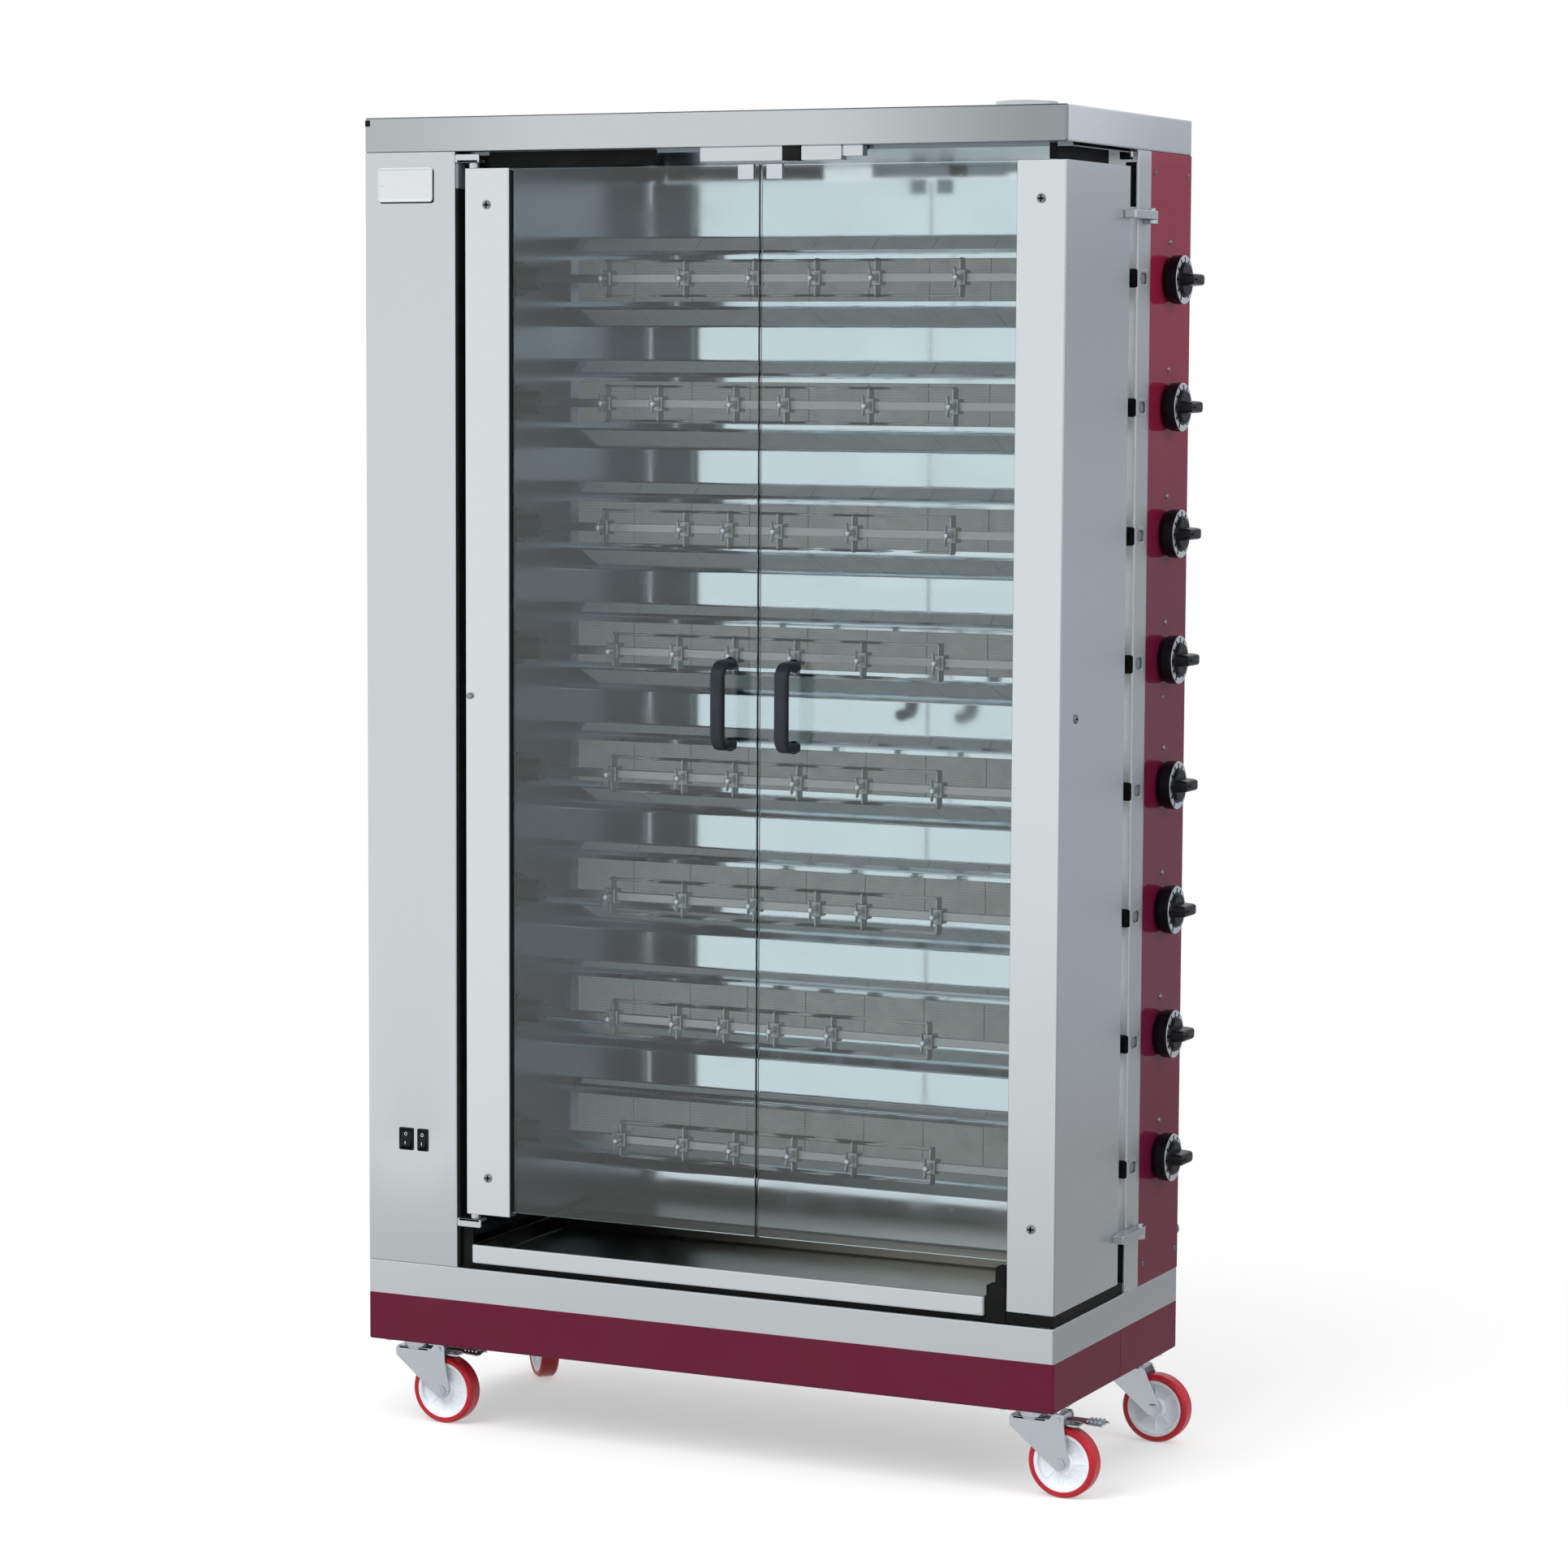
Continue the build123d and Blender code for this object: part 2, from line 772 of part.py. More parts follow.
def make_wing_screw(x, level):
    rod_face = spit_y - rod_size / 2 - socket_play
    hub_front = spit_y - fork_hub_size / 2
    wing_back = hub_front - screw_reach + wing_depth / 2
    wing_front = wing_back - wing_depth
    screw = bar_y(x, hub_front - screw_reach, rod_face, level, screw_radius)
    screw += bar_y(x, wing_front, wing_back, level, screw_shoulder)
    return screw + block(x - wing_thickness / 2, x + wing_thickness / 2, wing_front, wing_back,
                         level - wing_span / 2, level + wing_span / 2)


# Drive

def make_drive_hub(level):
    half = rod_size / 2 + socket_play
    hub = bar_x(shaft_start, socket_start, spit_y, level, shaft_radius)
    hub += bar_x(socket_start, socket_start + socket_flange_width, spit_y, level, socket_flange_radius)
    hub += bar_x(socket_start, socket_end, spit_y, level, socket_radius)
    hub -= block(socket_end - socket_depth, socket_end, spit_y - half, spit_y + half,
                 level - half, level + half)
    return hub + make_sprocket(level)


def make_sprocket(level):
    # Each tooth's corners, as shares of one tooth and as radii
    corners = ((0.00, sprocket_root_radius), (0.28, sprocket_root_radius),
               (0.52, sprocket_tip_radius), (0.76, sprocket_tip_radius))
    step = 360.0 / sprocket_teeth
    outline = []
    for tooth in range(sprocket_teeth):
        for share, radius in corners:
            angle = radians(step * (tooth + share))
            outline.append((spit_y + radius * cos(angle), level + radius * sin(angle)))
    return prism_x(outline, sprocket_left, sprocket_right)


def make_bearing_rail():
    top = levels[0] + rail_overrun
    rail_front = spit_y - rail_half_width
    rail_back = spit_y + rail_half_width
    inside = column_right - sheet
    rail = block(rail_left, rail_right, rail_front, rail_back, deck_top, top)
    rail += block(rail_right, inside, rail_front, rail_back, top - rail_thickness, top)
    bushes = []
    for level in levels:
        rail -= bar_x(rail_left, rail_right, spit_y, level, bush_radius)
        bushes.append(make_bush(rail_left, rail_right, rail_right, rail_right + bush_flange_width, level))
        bushes.append(make_bush(inside, chamber_left, inside, inside - bush_flange_width, level))
    return [rail] + bushes


def make_bush(x0, x1, flange_start, flange_end, level):
    bush = bar_x(x0, x1, spit_y, level, bush_radius)
    bush += bar_x(flange_start, flange_end, spit_y, level, bush_flange_radius)
    return bush - bar_x(min(x0, flange_end), max(x1, flange_end), spit_y, level, shaft_radius + running_gap)


def make_drive_unit():
    level = levels[-1]
    half_width = gearbox_width / 2
    half_height = gearbox_height / 2
    gearbox = block(gearbox_left, rail_left, spit_y - half_width, spit_y + half_width,
                    level - half_height, level + half_height)
    gearbox -= bar_x(shaft_start - gearbox_floor, rail_left, spit_y, level, shaft_radius + running_gap)
    motor = bar_y(gearbox_left + motor_radius, spit_y + half_width, spit_y + half_width + motor_length,
                  level, motor_radius)
    return [gearbox, motor, make_chain()]


def make_chain():
    inner = sprocket_tip_radius + seat_gap
    return make_loop(inner + chain_depth) - make_loop(inner)


def make_loop(radius):
    loop = block(sprocket_left, sprocket_right, spit_y - radius, spit_y + radius, levels[-1], levels[0])
    loop += bar_x(sprocket_left, sprocket_right, spit_y, levels[0], radius)
    return loop + bar_x(sprocket_left, sprocket_right, spit_y, levels[-1], radius)


# Doors

def make_left_stile():
    low = left_stile_bottom + door_cap
    high = door_top - door_cap
    tail = left_glass_edge - clamp_tail
    inner_right = left_stile_right - sheet
    stile = block(left_stile_left, left_stile_right, front, door_back, left_stile_bottom, door_top)
    stile -= block(left_stile_left + sheet, inner_right, front + sheet, door_back - sheet, low, high)
    stile -= block(inner_right, left_stile_right, glass_front, door_back - sheet, low, high)
    stile -= bar_z(left_pin_x, left_pin_y, high, door_top, left_pin_radius)
    stile -= bar_z(left_pin_x, left_pin_y, left_stile_bottom, low, left_pin_radius)
    clamp = block(tail, inner_right, glass_back, door_back - sheet, low, high)
    clamp += block(tail, left_glass_edge - seat_gap, front + sheet, glass_back, low, high)
    pieces = fasten_clamp(stile, clamp, left_glass_edge - clamp_tail / 2)
    pieces.append(make_door_pin(high, door_top, 1))
    pieces.append(make_door_pin(low, left_stile_bottom, -1))
    pieces.append(make_strike(meeting_x - strike_offset))
    return pieces


def make_right_frame():
    low = right_stile_bottom + door_cap
    high = door_top - door_cap
    tail = right_glass_edge + clamp_tail
    inner_left = right_stile_left + sheet
    outline = [(right_stile_left, front), (right, front), (right, return_back), (return_inner, return_back),
               (return_inner, door_back), (right_stile_left, door_back)]
    inside = [(inner_left, front + sheet), (right - sheet, front + sheet),
              (right - sheet, return_back - sheet), (return_inner + sheet, return_back - sheet),
              (return_inner + sheet, door_back - sheet), (inner_left, door_back - sheet)]
    frame = prism_z(outline, right_stile_bottom, door_top) - prism_z(inside, low, high)
    frame -= block(right_stile_left, inner_left, glass_front, door_back - sheet, glass_bottom - seat_gap, high)
    clamp = block(inner_left, tail, glass_back, door_back - sheet, low, high)
    clamp += block(right_glass_edge + seat_gap, tail, front + sheet, glass_back, low, high)
    pieces = fasten_clamp(frame, clamp, right_glass_edge + clamp_tail / 2)
    pieces += [make_hinge_arm(top) for top in (upper_arm_top, lower_arm_top)]
    pieces.append(make_strike(meeting_x + strike_offset))
    return pieces


def fasten_clamp(stile, clamp, screw_x):
    screws = []
    for level in door_screw_levels:
        shank = bar_y(screw_x, front, front + door_screw_length, level, door_screw_shank)
        stile -= shank
        clamp -= shank
        head = bar_y(screw_x, front - door_screw_head, front, level, door_screw_radius)
        head = fillet(head.edges().filter_by(GeomType.CIRCLE).sort_by(Axis.Y)[0], door_screw_head * 0.8)
        screws.append(head + shank)
    return [stile, clamp] + screws


def make_door_pin(inner, face, side):
    bracket_face = face + side * left_bracket_gap
    end = bracket_face + side * (left_bracket_thickness + pin_overrun)
    pin = bar_z(left_pin_x, left_pin_y, inner, end, left_pin_radius)
    return pin + bar_z(left_pin_x, left_pin_y, face, bracket_face - side * seat_gap, spacer_radius)


def make_strike(x):
    low = glass_top - strike_height
    strike = block(x - strike_width / 2, x + strike_width / 2, glass_front - strike_wall,
                   glass_back + strike_wall, low, glass_top + strike_wall)
    return strike - block(x - strike_width / 2, x + strike_width / 2, glass_front, glass_back, low, glass_top)


def make_left_glass():
    edge = meeting_x - meeting_gap / 2
    pane = block(left_glass_edge, edge, glass_front, glass_back, glass_bottom, door_top - door_cap)
    pane += block(left_stile_right, edge, glass_front, glass_back, glass_bottom, glass_top)
    return drill_glass(pane, meeting_x - left_handle_offset)


def make_right_glass():
    edge = meeting_x + meeting_gap / 2
    pane = block(edge, right_glass_edge, glass_front, glass_back, glass_bottom, door_top - door_cap)
    pane += block(edge, right_stile_left, glass_front, glass_back, glass_bottom, glass_top)
    return drill_glass(pane, meeting_x + right_handle_offset)


def drill_glass(pane, x):
    for level in handle_screw_levels:
        pane -= bar_y(x, glass_front, glass_back, level, door_screw_shank)
    return pane


def make_handle(x):
    low = handle_middle - handle_length / 2
    high = handle_middle + handle_length / 2
    half_width = handle_width / 2
    bridge = block(x - half_width, x + half_width, handle_front, glass_front, low, high)
    bridge = fillet(bridge.edges().filter_by(Axis.X).sort_by(Axis.Y)[:2], handle_corner)
    finger_room = block(x - half_width, x + half_width, handle_front + handle_bar, glass_front,
                        low + handle_foot, high - handle_foot)
    inner_corners = finger_room.edges().filter_by(Axis.X).sort_by(Axis.Y)[:2]
    bridge -= fillet(inner_corners, handle_corner - handle_bar)
    bridge = fillet(bridge.edges().filter_by(Axis.Z).sort_by(Axis.Y)[:2], handle_round)
    pieces = [bridge]
    for level in handle_screw_levels:
        washer = bar_y(x, glass_back, glass_back + washer_thickness, level, washer_radius)
        pieces.append(washer + bar_y(x, glass_front, glass_back, level, door_screw_shank))
    return pieces


def make_hinge_arm(top):
    low = top - arm_thickness
    start = return_back - arm_weld_length
    arm = block(right_pin_x - arm_half_width, right_pin_x + arm_half_width, start, right_pin_y, low, top)
    arm += block(right, right_pin_x, start, return_back, low, top)
    arm += bar_z(right_pin_x, right_pin_y, low, top, arm_half_width)
    return arm - bar_z(right_pin_x, right_pin_y, low, top, right_pin_radius + running_gap)


# Small fixed pieces

def make_fixings():
    pieces = []
    for name, x, y, braked, turn in castors:
        pieces += make_castor_plate(x, y)
    pieces.append(make_left_bracket(door_top, 1))
    pieces.append(make_left_bracket(left_stile_bottom, -1))
    for top in (upper_arm_top, lower_arm_top):
        pieces += make_right_lug(top)
    catch_front = glass_front - strike_wall
    pieces.append(block(meeting_x - catch_width / 2, meeting_x + catch_width / 2, catch_front,
                        catch_front + catch_depth, canopy_bottom - catch_height, canopy_bottom))
    for level in levels:
        pieces.append(bar_x(right, right + stud_height, tap_y, level + stud_rise, stud_radius))
    return pieces


def make_castor_plate(x, y):
    half_length = castor_plate_length / 2
    half_width = castor_plate_width / 2
    head_top = crown_bottom - seat_gap
    plate = block(x - half_length, x + half_length, y - half_width, y + half_width, plate_bottom, plinth_bottom)
    race = bar_z(x, y, race_bottom, plate_bottom, race_radius)
    race += bar_z(x, y, head_top, race_bottom, kingpin_radius)
    race += bar_z(x, y, head_top - kingpin_head_height, head_top, kingpin_head_radius)
    return [plate, race]


def make_left_bracket(face, side):
    near = face + side * left_bracket_gap
    far = near + side * left_bracket_thickness
    end = left_pin_x + left_bracket_margin
    start_y = front + sheet
    bracket = block(column_right, end, start_y, start_y + left_bracket_width, near, far)
    bracket += block(column_right, end, start_y, start_y + left_bracket_fold, near,
                     near + side * left_bracket_lip)
    return bracket - bar_z(left_pin_x, left_pin_y, near, far, left_pin_radius + running_gap)


def make_right_lug(arm_top):
    top = arm_top - arm_thickness - seat_gap
    low = top - lug_thickness
    lug = block(right, right_pin_x, right_pin_y - arm_half_width, right_pin_y + arm_half_width, low, top)
    lug += bar_z(right_pin_x, right_pin_y, low, top, arm_half_width)
    lug -= bar_z(right_pin_x, right_pin_y, low, top, right_pin_radius)
    return [lug, bar_z(right_pin_x, right_pin_y, low, arm_top + right_pin_overrun, right_pin_radius)]


# Switches and gland

def make_switch_block():
    pieces = []
    half_height = switch_height / 2
    body_height = half_height - switch_step
    well_height = half_height - switch_frame
    for place, width in switch_places:
        x = left + place
        half = width / 2
        body = half - switch_frame
        well = body - switch_wall
        switch = block(x - half, x + half, front - switch_bezel, front,
                       switch_level - half_height, switch_level + half_height)
        switch += block(x - body, x + body, front, front + switch_body_depth,
                        switch_level - body_height, switch_level + body_height)
        switch -= block(x - well, x + well, front - switch_bezel, front + switch_well_depth,
                        switch_level - well_height, switch_level + well_height)
        switch -= bar_x(x - body, x + body, front + rocker_pivot_depth, switch_level,
                        rocker_pin_radius + running_gap)
        pieces.append(switch)
    nut_front = back - sheet
    gland = bar_y(gland_x, back - gland_inside, back + gland_reach, gland_level, gland_radius)
    gland += bar_y(gland_x, back, back + gland_nut_length, gland_level, gland_nut_radius)
    gland += bar_y(gland_x, nut_front - gland_nut_length, nut_front, gland_level, gland_nut_radius)
    gland -= bar_y(gland_x, back - gland_inside, back + gland_reach, gland_level, gland_bore_radius)
    pieces.append(gland)
    return pieces


def make_rocker(place, width):
    half = width / 2 - switch_frame - switch_wall - seat_gap
    back_height = rocker_half_height - switch_step
    outline = [(-rocker_crest, rocker_half_height), (-rocker_dip, 0.0), (-rocker_crest, -rocker_half_height),
               (rocker_back, -back_height), (rocker_back, back_height)]
    paddle = prism_x(outline, -half, half)
    pin_end = width / 2 - switch_frame
    paddle += bar_x(-pin_end, pin_end, 0, 0, rocker_pin_radius)
    return Pos(left + place, front + rocker_pivot_depth, switch_level) * Rot(-rocker_tilt, 0, 0) * paddle


# Drip tray

def make_tray():
    top = tray_bottom + tray_height
    tray = block(tray_left, tray_right, front, tray_back, tray_bottom, top)
    return tray - block(tray_left + sheet, tray_right - sheet, front + sheet, tray_back - sheet,
                        tray_bottom + sheet, top)


# Castors

def make_castor_fork(x, y, braked):
    axle_x = x + castor_lead
    knee = crown_top - leg_front_drop
    outline = [(x - crown_radius, crown_top), (x + crown_radius, crown_top),
               (axle_x + axle_boss_radius, wheel_axle_z), (axle_x, wheel_axle_z - axle_boss_radius),
               (x - crown_radius, crown_top - leg_back_drop)]
    if braked:
        ear_left = x + brake_pivot_x - brake_ear
        ear_right = x + brake_pivot_x + brake_ear
        ear_top = brake_pivot_z + brake_ear
        outline[2:2] = [(ear_left, ear_top), (ear_right, ear_top), (ear_right, knee)]
    fork = block(x - crown_radius, x + crown_radius, y - leg_outer, y + leg_outer, crown_bottom, crown_top)
    for start in (y - leg_outer, y + leg_inner):
        fork += prism_y(outline, start, start + castor_leg)
        fork += bar_y(axle_x, start, start + castor_leg, wheel_axle_z, axle_boss_radius)
    fork -= bar_z(x, y, crown_bottom, crown_top, kingpin_radius + running_gap)
    axle = bar_y(axle_x, y - leg_outer, y + leg_outer, wheel_axle_z, axle_radius)
    fork -= axle
    for start in (y - leg_outer - axle_head_height, y + leg_outer):
        axle += bar_y(axle_x, start, start + axle_head_height, wheel_axle_z, axle_head_radius)
    if not braked:
        return [fork, axle]
    pin = bar_y(x + brake_pivot_x, y - leg_outer, y + leg_outer, brake_pivot_z, brake_pin_radius)
    return [fork - pin, axle, pin]


def make_castor_wheel(x, y):
    axle_x = x + castor_lead
    hub_radius = wheel_radius - tread_thickness
    half_width = wheel_width / 2
    half_hub = half_width - tread_overhang
    hub = bar_y(axle_x, y - half_hub, y + half_hub, wheel_axle_z, hub_radius)
    for start in (y - half_hub, y + half_hub - hub_recess):
        recess = bar_y(axle_x, start, start + hub_recess, wheel_axle_z, hub_radius - hub_rim)
        hub -= recess - bar_y(axle_x, start, start + hub_recess, wheel_axle_z, hub_boss_radius)
    hub -= bar_y(axle_x, y - half_hub, y + half_hub, wheel_axle_z, axle_radius + running_gap)
    tread = bar_y(axle_x, y - half_width, y + half_width, wheel_axle_z, wheel_radius)
    tread = fillet(tread.edges().filter_by(GeomType.CIRCLE), tread_round)
    return [hub, tread - bar_y(axle_x, y - half_width, y + half_width, wheel_axle_z, hub_radius)]


def swung(pieces, x, y, turn):
    if not turn:
        return pieces
    return [Pos(x, y, 0) * Rot(0, 0, turn) * Pos(-x, -y, 0) * piece for piece in pieces]


def make_brake_pedal(x, y):
    pivot_x = x + brake_pivot_x
    tip = x + pedal_reach
    half_arm = pedal_arm_width / 2
    half_pad = pedal_pad_width / 2
    half_barrel = leg_inner - pedal_play
    arm_low = brake_pivot_z - pedal_arm_down
    arm_high = brake_pivot_z + pedal_arm_up
    pad_start = tip - pedal_pad_length
    axle_x = x + castor_lead
    shoe_low = wheel_radius * 2 + shoe_clearance
    half_shoe = shoe_width / 2
    pedal = bar_y(pivot_x, y - half_barrel, y + half_barrel, brake_pivot_z, pedal_barrel)
    pedal += block(pivot_x, pad_start, y - half_arm, y + half_arm, arm_low, arm_high)
    pedal += block(pad_start, tip, y - half_pad, y + half_pad, arm_low - pedal_pad_lip, arm_high)
    pedal += block(axle_x, axle_x + shoe_length, y - half_shoe, y + half_shoe,
                   shoe_low, shoe_low + shoe_thickness)
    pedal += block(axle_x, axle_x + shoe_thickness, y - half_shoe, y + half_shoe, shoe_low, brake_pivot_z)
    return pedal - bar_y(pivot_x, y - half_barrel, y + half_barrel, brake_pivot_z,
                         brake_pin_radius + running_gap)


# All nodes

def main():
    save("plinth", [make_plinth()])
    save("base_band", [make_band()])
    save("canopy", [make_canopy()])
    save("flue_collar", [make_flue_collar()])
    save("column_casing", make_column())
    save("back_panel", [make_back_panel()])
    save("tap_panel", [make_tap_panel()])
    save("chamber_liner", make_liner())
    save("reflector", [make_reflector()])
    save("ceramic_tiles", [make_tile_row(level) for level in levels])
    save("burners", [make_burner(level) for level in levels])
    save("gas_rail", make_gas_rail())
    save("corner_post", make_corner_post())
    save("bearing_rail", make_bearing_rail())
    save("drive_unit", make_drive_unit())
    save("switch_block", make_switch_block())
    save("fixings", make_fixings())
    save("drip_tray", [make_tray()])
    save("left_door_stile", make_left_stile())
    save("left_door_glass", [make_left_glass()])
    save("left_door_handle", make_handle(meeting_x - left_handle_offset))
    save("right_door_frame", make_right_frame())
    save("right_door_glass", [make_right_glass()])
    save("right_door_handle", make_handle(meeting_x + right_handle_offset))
    for number, (level, places) in enumerate(zip(levels, fork_places), 1):
        save(f"spit_{number}", make_spit(level, places))
        save(f"drive_hub_{number}", [make_drive_hub(level)])
        save(f"knob_{number}", make_knob(level))
    for number, (place, width) in enumerate(switch_places, 1):
        save(f"rocker_{number}", [make_rocker(place, width)])
    for name, x, y, braked, turn in castors:
        save(f"{name}_castor_fork", swung(make_castor_fork(x, y, braked), x, y, turn))
        save(f"{name}_castor_wheel", swung(make_castor_wheel(x, y), x, y, turn))
        if braked:
            save(f"{name}_brake_pedal", [make_brake_pedal(x, y)])


main()
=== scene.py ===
import json
import math

import bmesh
import bpy
import numpy as np
from mathutils import Matrix

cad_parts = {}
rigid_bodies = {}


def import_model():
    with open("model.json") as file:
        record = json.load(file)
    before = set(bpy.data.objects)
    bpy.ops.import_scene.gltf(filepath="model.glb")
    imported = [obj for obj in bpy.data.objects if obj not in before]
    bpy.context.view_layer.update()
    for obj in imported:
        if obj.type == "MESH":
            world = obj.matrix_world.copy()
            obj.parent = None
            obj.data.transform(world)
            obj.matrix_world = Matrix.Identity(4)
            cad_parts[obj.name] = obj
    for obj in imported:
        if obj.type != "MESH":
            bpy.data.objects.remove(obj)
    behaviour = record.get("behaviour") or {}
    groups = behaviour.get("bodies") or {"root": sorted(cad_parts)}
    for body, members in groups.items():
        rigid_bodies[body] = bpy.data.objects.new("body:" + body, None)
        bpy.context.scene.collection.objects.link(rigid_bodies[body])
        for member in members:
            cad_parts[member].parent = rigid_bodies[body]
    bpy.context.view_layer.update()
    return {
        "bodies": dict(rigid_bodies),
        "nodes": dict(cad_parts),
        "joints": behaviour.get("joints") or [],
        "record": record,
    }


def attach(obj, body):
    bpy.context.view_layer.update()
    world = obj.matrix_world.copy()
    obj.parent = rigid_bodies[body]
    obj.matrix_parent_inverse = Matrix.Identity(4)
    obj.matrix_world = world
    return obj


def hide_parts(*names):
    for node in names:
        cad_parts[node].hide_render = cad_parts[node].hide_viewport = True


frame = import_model()
print("frame loaded")

# Sizes are in millimetres, from the floor under the middle of the cabinet: X right, -Y front, Z up.
drawingShift = np.array([28.5, -8.0, 0.0])
levels = 1688.0 - 180.3 * np.arange(8)
levelPlaces = [(0, 0, level) for level in levels]


# Studio

studio = {
    "cameraPlace": (2.7830, -5.8612, 1.5757),
    "yaw": 25.47,
    "pitch": 5.44,
    "roll": 0.278,
    "lens": 102.9,
    "ambient": 0.62,        # world light on plain surfaces
    "floorRadius": 60.0,
    "floorColour": 0.57,
    "floorGlow": 0.425,     # what the floor adds for the camera
    "floorNearShade": 0.70,      # the floor in reflections: near the object, where it is darker as painted shade, far off, and at its right side
    "floorFar": 1.0,
    "floorRight": 0.37,
    "nearToFar": (0.4, 3.4),
    "rightFrom": (0.55, 0.8),
    "floorFade": (0.7, 1.8),   # where the floor gives way to white, for the camera and in reflections
    "mirrorFade": (1.6, 4.6),
    "target": (0, 0, 0.9),
    "lamps": {"key": ((-1.2, -3.6, 4.6), 4.0, 250.0),   # place, width, power
              "fill": ((4.2, -1.0, 3.0), 3.5, 70.0),
              "rear": ((0.5, 4.8, 3.4), 3.5, 70.0)},
    # Grey cards that only reflections see, so that steel has light and dark sides: place, the way they face,
    # width, height, two greys, and where along the card one gives way to the other
    "cards": {"ceilingCard": ((0, 0, 6.0), (0, 0, -1), 9.0, 9.0,
                              ((0.16, 0.17, 0.18, 1), (0.2, 0.21, 0.22, 1)), (-0.5, 0.5)),
              "rightCard": ((2.5, 3.2, 2.45), (-0.43, -0.9, 0), 4.6, 4.9,
                            ((0.44, 0.46, 0.50, 1), (0.72, 0.74, 0.76, 1)), (-0.45, -0.38))},
}


class Wire:
    # One output socket that can stand in a sum
    def __init__(self, tree, socket):
        self.tree = tree
        self.socket = socket

    def math(self, operation, *others):
        values = dict(enumerate([self, *others]))
        return self.tree.node("ShaderNodeMath", values, operation=operation)["Value"]

    def __add__(self, other):
        return self.math("ADD", other)

    def __mul__(self, other):
        return self.math("MULTIPLY", other)

    def __sub__(self, other):
        return self.math("SUBTRACT", other)

    def __rsub__(self, other):
        return self.math("MULTIPLY_ADD", -1.0, other)

    __radd__ = __add__
    __rmul__ = __mul__


class Tree:
    # A node tree that is filled in by name
    def __init__(self, nodeTree):
        self.nodeTree = nodeTree
        nodeTree.nodes.clear()

    def node(self, kind, values=None, **settings):
        made = self.nodeTree.nodes.new(kind)
        for key, value in settings.items():
            setattr(made, key, value)
        for key, value in (values or {}).items():
            if isinstance(value, Wire):
                self.nodeTree.links.new(value.socket, made.inputs[key])
            else:
                made.inputs[key].default_value = value
        outputs = {}
        for index, socket in enumerate(made.outputs):
            outputs[index] = outputs[socket.name] = Wire(self, socket)
        return outputs

    def coords(self, stretch=(1, 1, 1)):
        place = self.node("ShaderNodeTexCoord")["Object"]
        return self.node("ShaderNodeMapping", {"Vector": place, "Scale": stretch})["Vector"]

    def axes(self):
        parts = self.node("ShaderNodeSeparateXYZ", {0: self.coords()})
        return parts["X"], parts["Y"], parts["Z"]

    def noise(self, scale, detail=2.0, stretch=(1, 1, 1)):
        values = {"Vector": self.coords(stretch), "Scale": scale, "Detail": detail}
        return self.node("ShaderNodeTexNoise", values)[0]

    def grain(self, along, scale=2600.0, detail=2.0):
        # Noise that is drawn out fifty times along one axis
        return self.noise(scale, detail, tuple(0.02 if axis == along else 1.0 for axis in "xyz"))

    def step(self, value, low, high):
        values = {"Value": value, "From Min": low, "From Max": high}
        return self.node("ShaderNodeMapRange", values, interpolation_type="SMOOTHSTEP")["Result"]

    def mix(self, share, first, second):
        return self.node("ShaderNodeMix", {0: share, 6: first, 7: second}, data_type="RGBA")[2]

    def bump(self, height, distance, strength):
        values = {"Height": height, "Distance": distance, "Strength": strength}
        return self.node("ShaderNodeBump", values)["Normal"]


finishes = {}


def newFinish(name, **constants):
    finishes[name] = bpy.data.materials.new(name)
    finishes[name].use_nodes = True
    tree = Tree(finishes[name].node_tree)
    tree.constants = constants
    return tree


def rays(tree, glossy=True):
    # 1 for camera, transmission and perhaps glossy rays, 0 for the rest
    seen = tree.node("ShaderNodeLightPath")
    straight = seen["Is Camera Ray"].math("MAXIMUM", seen["Is Transmission Ray"])
    return straight.math("MAXIMUM", seen["Is Glossy Ray"]) if glossy else straight


def put(name, data):
    thing = bpy.data.objects.new(name, data)
    bpy.context.scene.collection.objects.link(thing)
    return thing


def pose(thing, axes, place):
    # Stands a thing at a place, with its own X, Y and Z along three directions
    matrix = np.eye(4)
    matrix[:3, :3] = np.array(axes).T
    matrix[:3, 3] = place
    thing.matrix_world = Matrix(matrix.tolist())


def aim(thing, place, target):
    # Stands a lamp or card at a place, with its -Z axis towards a point
    away = np.array(place, float) - np.array(target, float)
    z = away / np.linalg.norm(away)
    x = np.cross([0, 0, 1.0], z) if abs(z[2]) < 0.999 else np.array([1.0, 0, 0])
    x = x / np.linalg.norm(x)
    pose(thing, [x, np.cross(z, x), z], place)


def makeCamera():
    yaw, pitch, roll = (math.radians(studio[key]) for key in ("yaw", "pitch", "roll"))
    back = np.array([math.sin(yaw) * math.cos(pitch), -math.cos(yaw) * math.cos(pitch), math.sin(pitch)])
    right = np.array([math.cos(yaw), math.sin(yaw), 0.0])
    up = np.cross(back, right)
    axes = [math.cos(roll) * right + math.sin(roll) * up, math.cos(roll) * up - math.sin(roll) * right, back]
    camera = put("camera", bpy.data.cameras.new("camera"))
    camera.data.lens = studio["lens"]
    pose(camera, axes, studio["cameraPlace"])
    bpy.context.scene.camera = camera


def makeWorld():
    world = bpy.data.worlds.new("studio")
    world.use_nodes = True
    bpy.context.scene.world = world
    tree = Tree(world.node_tree)
    strength = rays(tree) * (1 - studio["ambient"]) + studio["ambient"]
    light = tree.node("ShaderNodeBackground", {"Color": (1, 1, 1, 1), "Strength": strength})[0]
    tree.node("ShaderNodeOutputWorld", {"Surface": light})


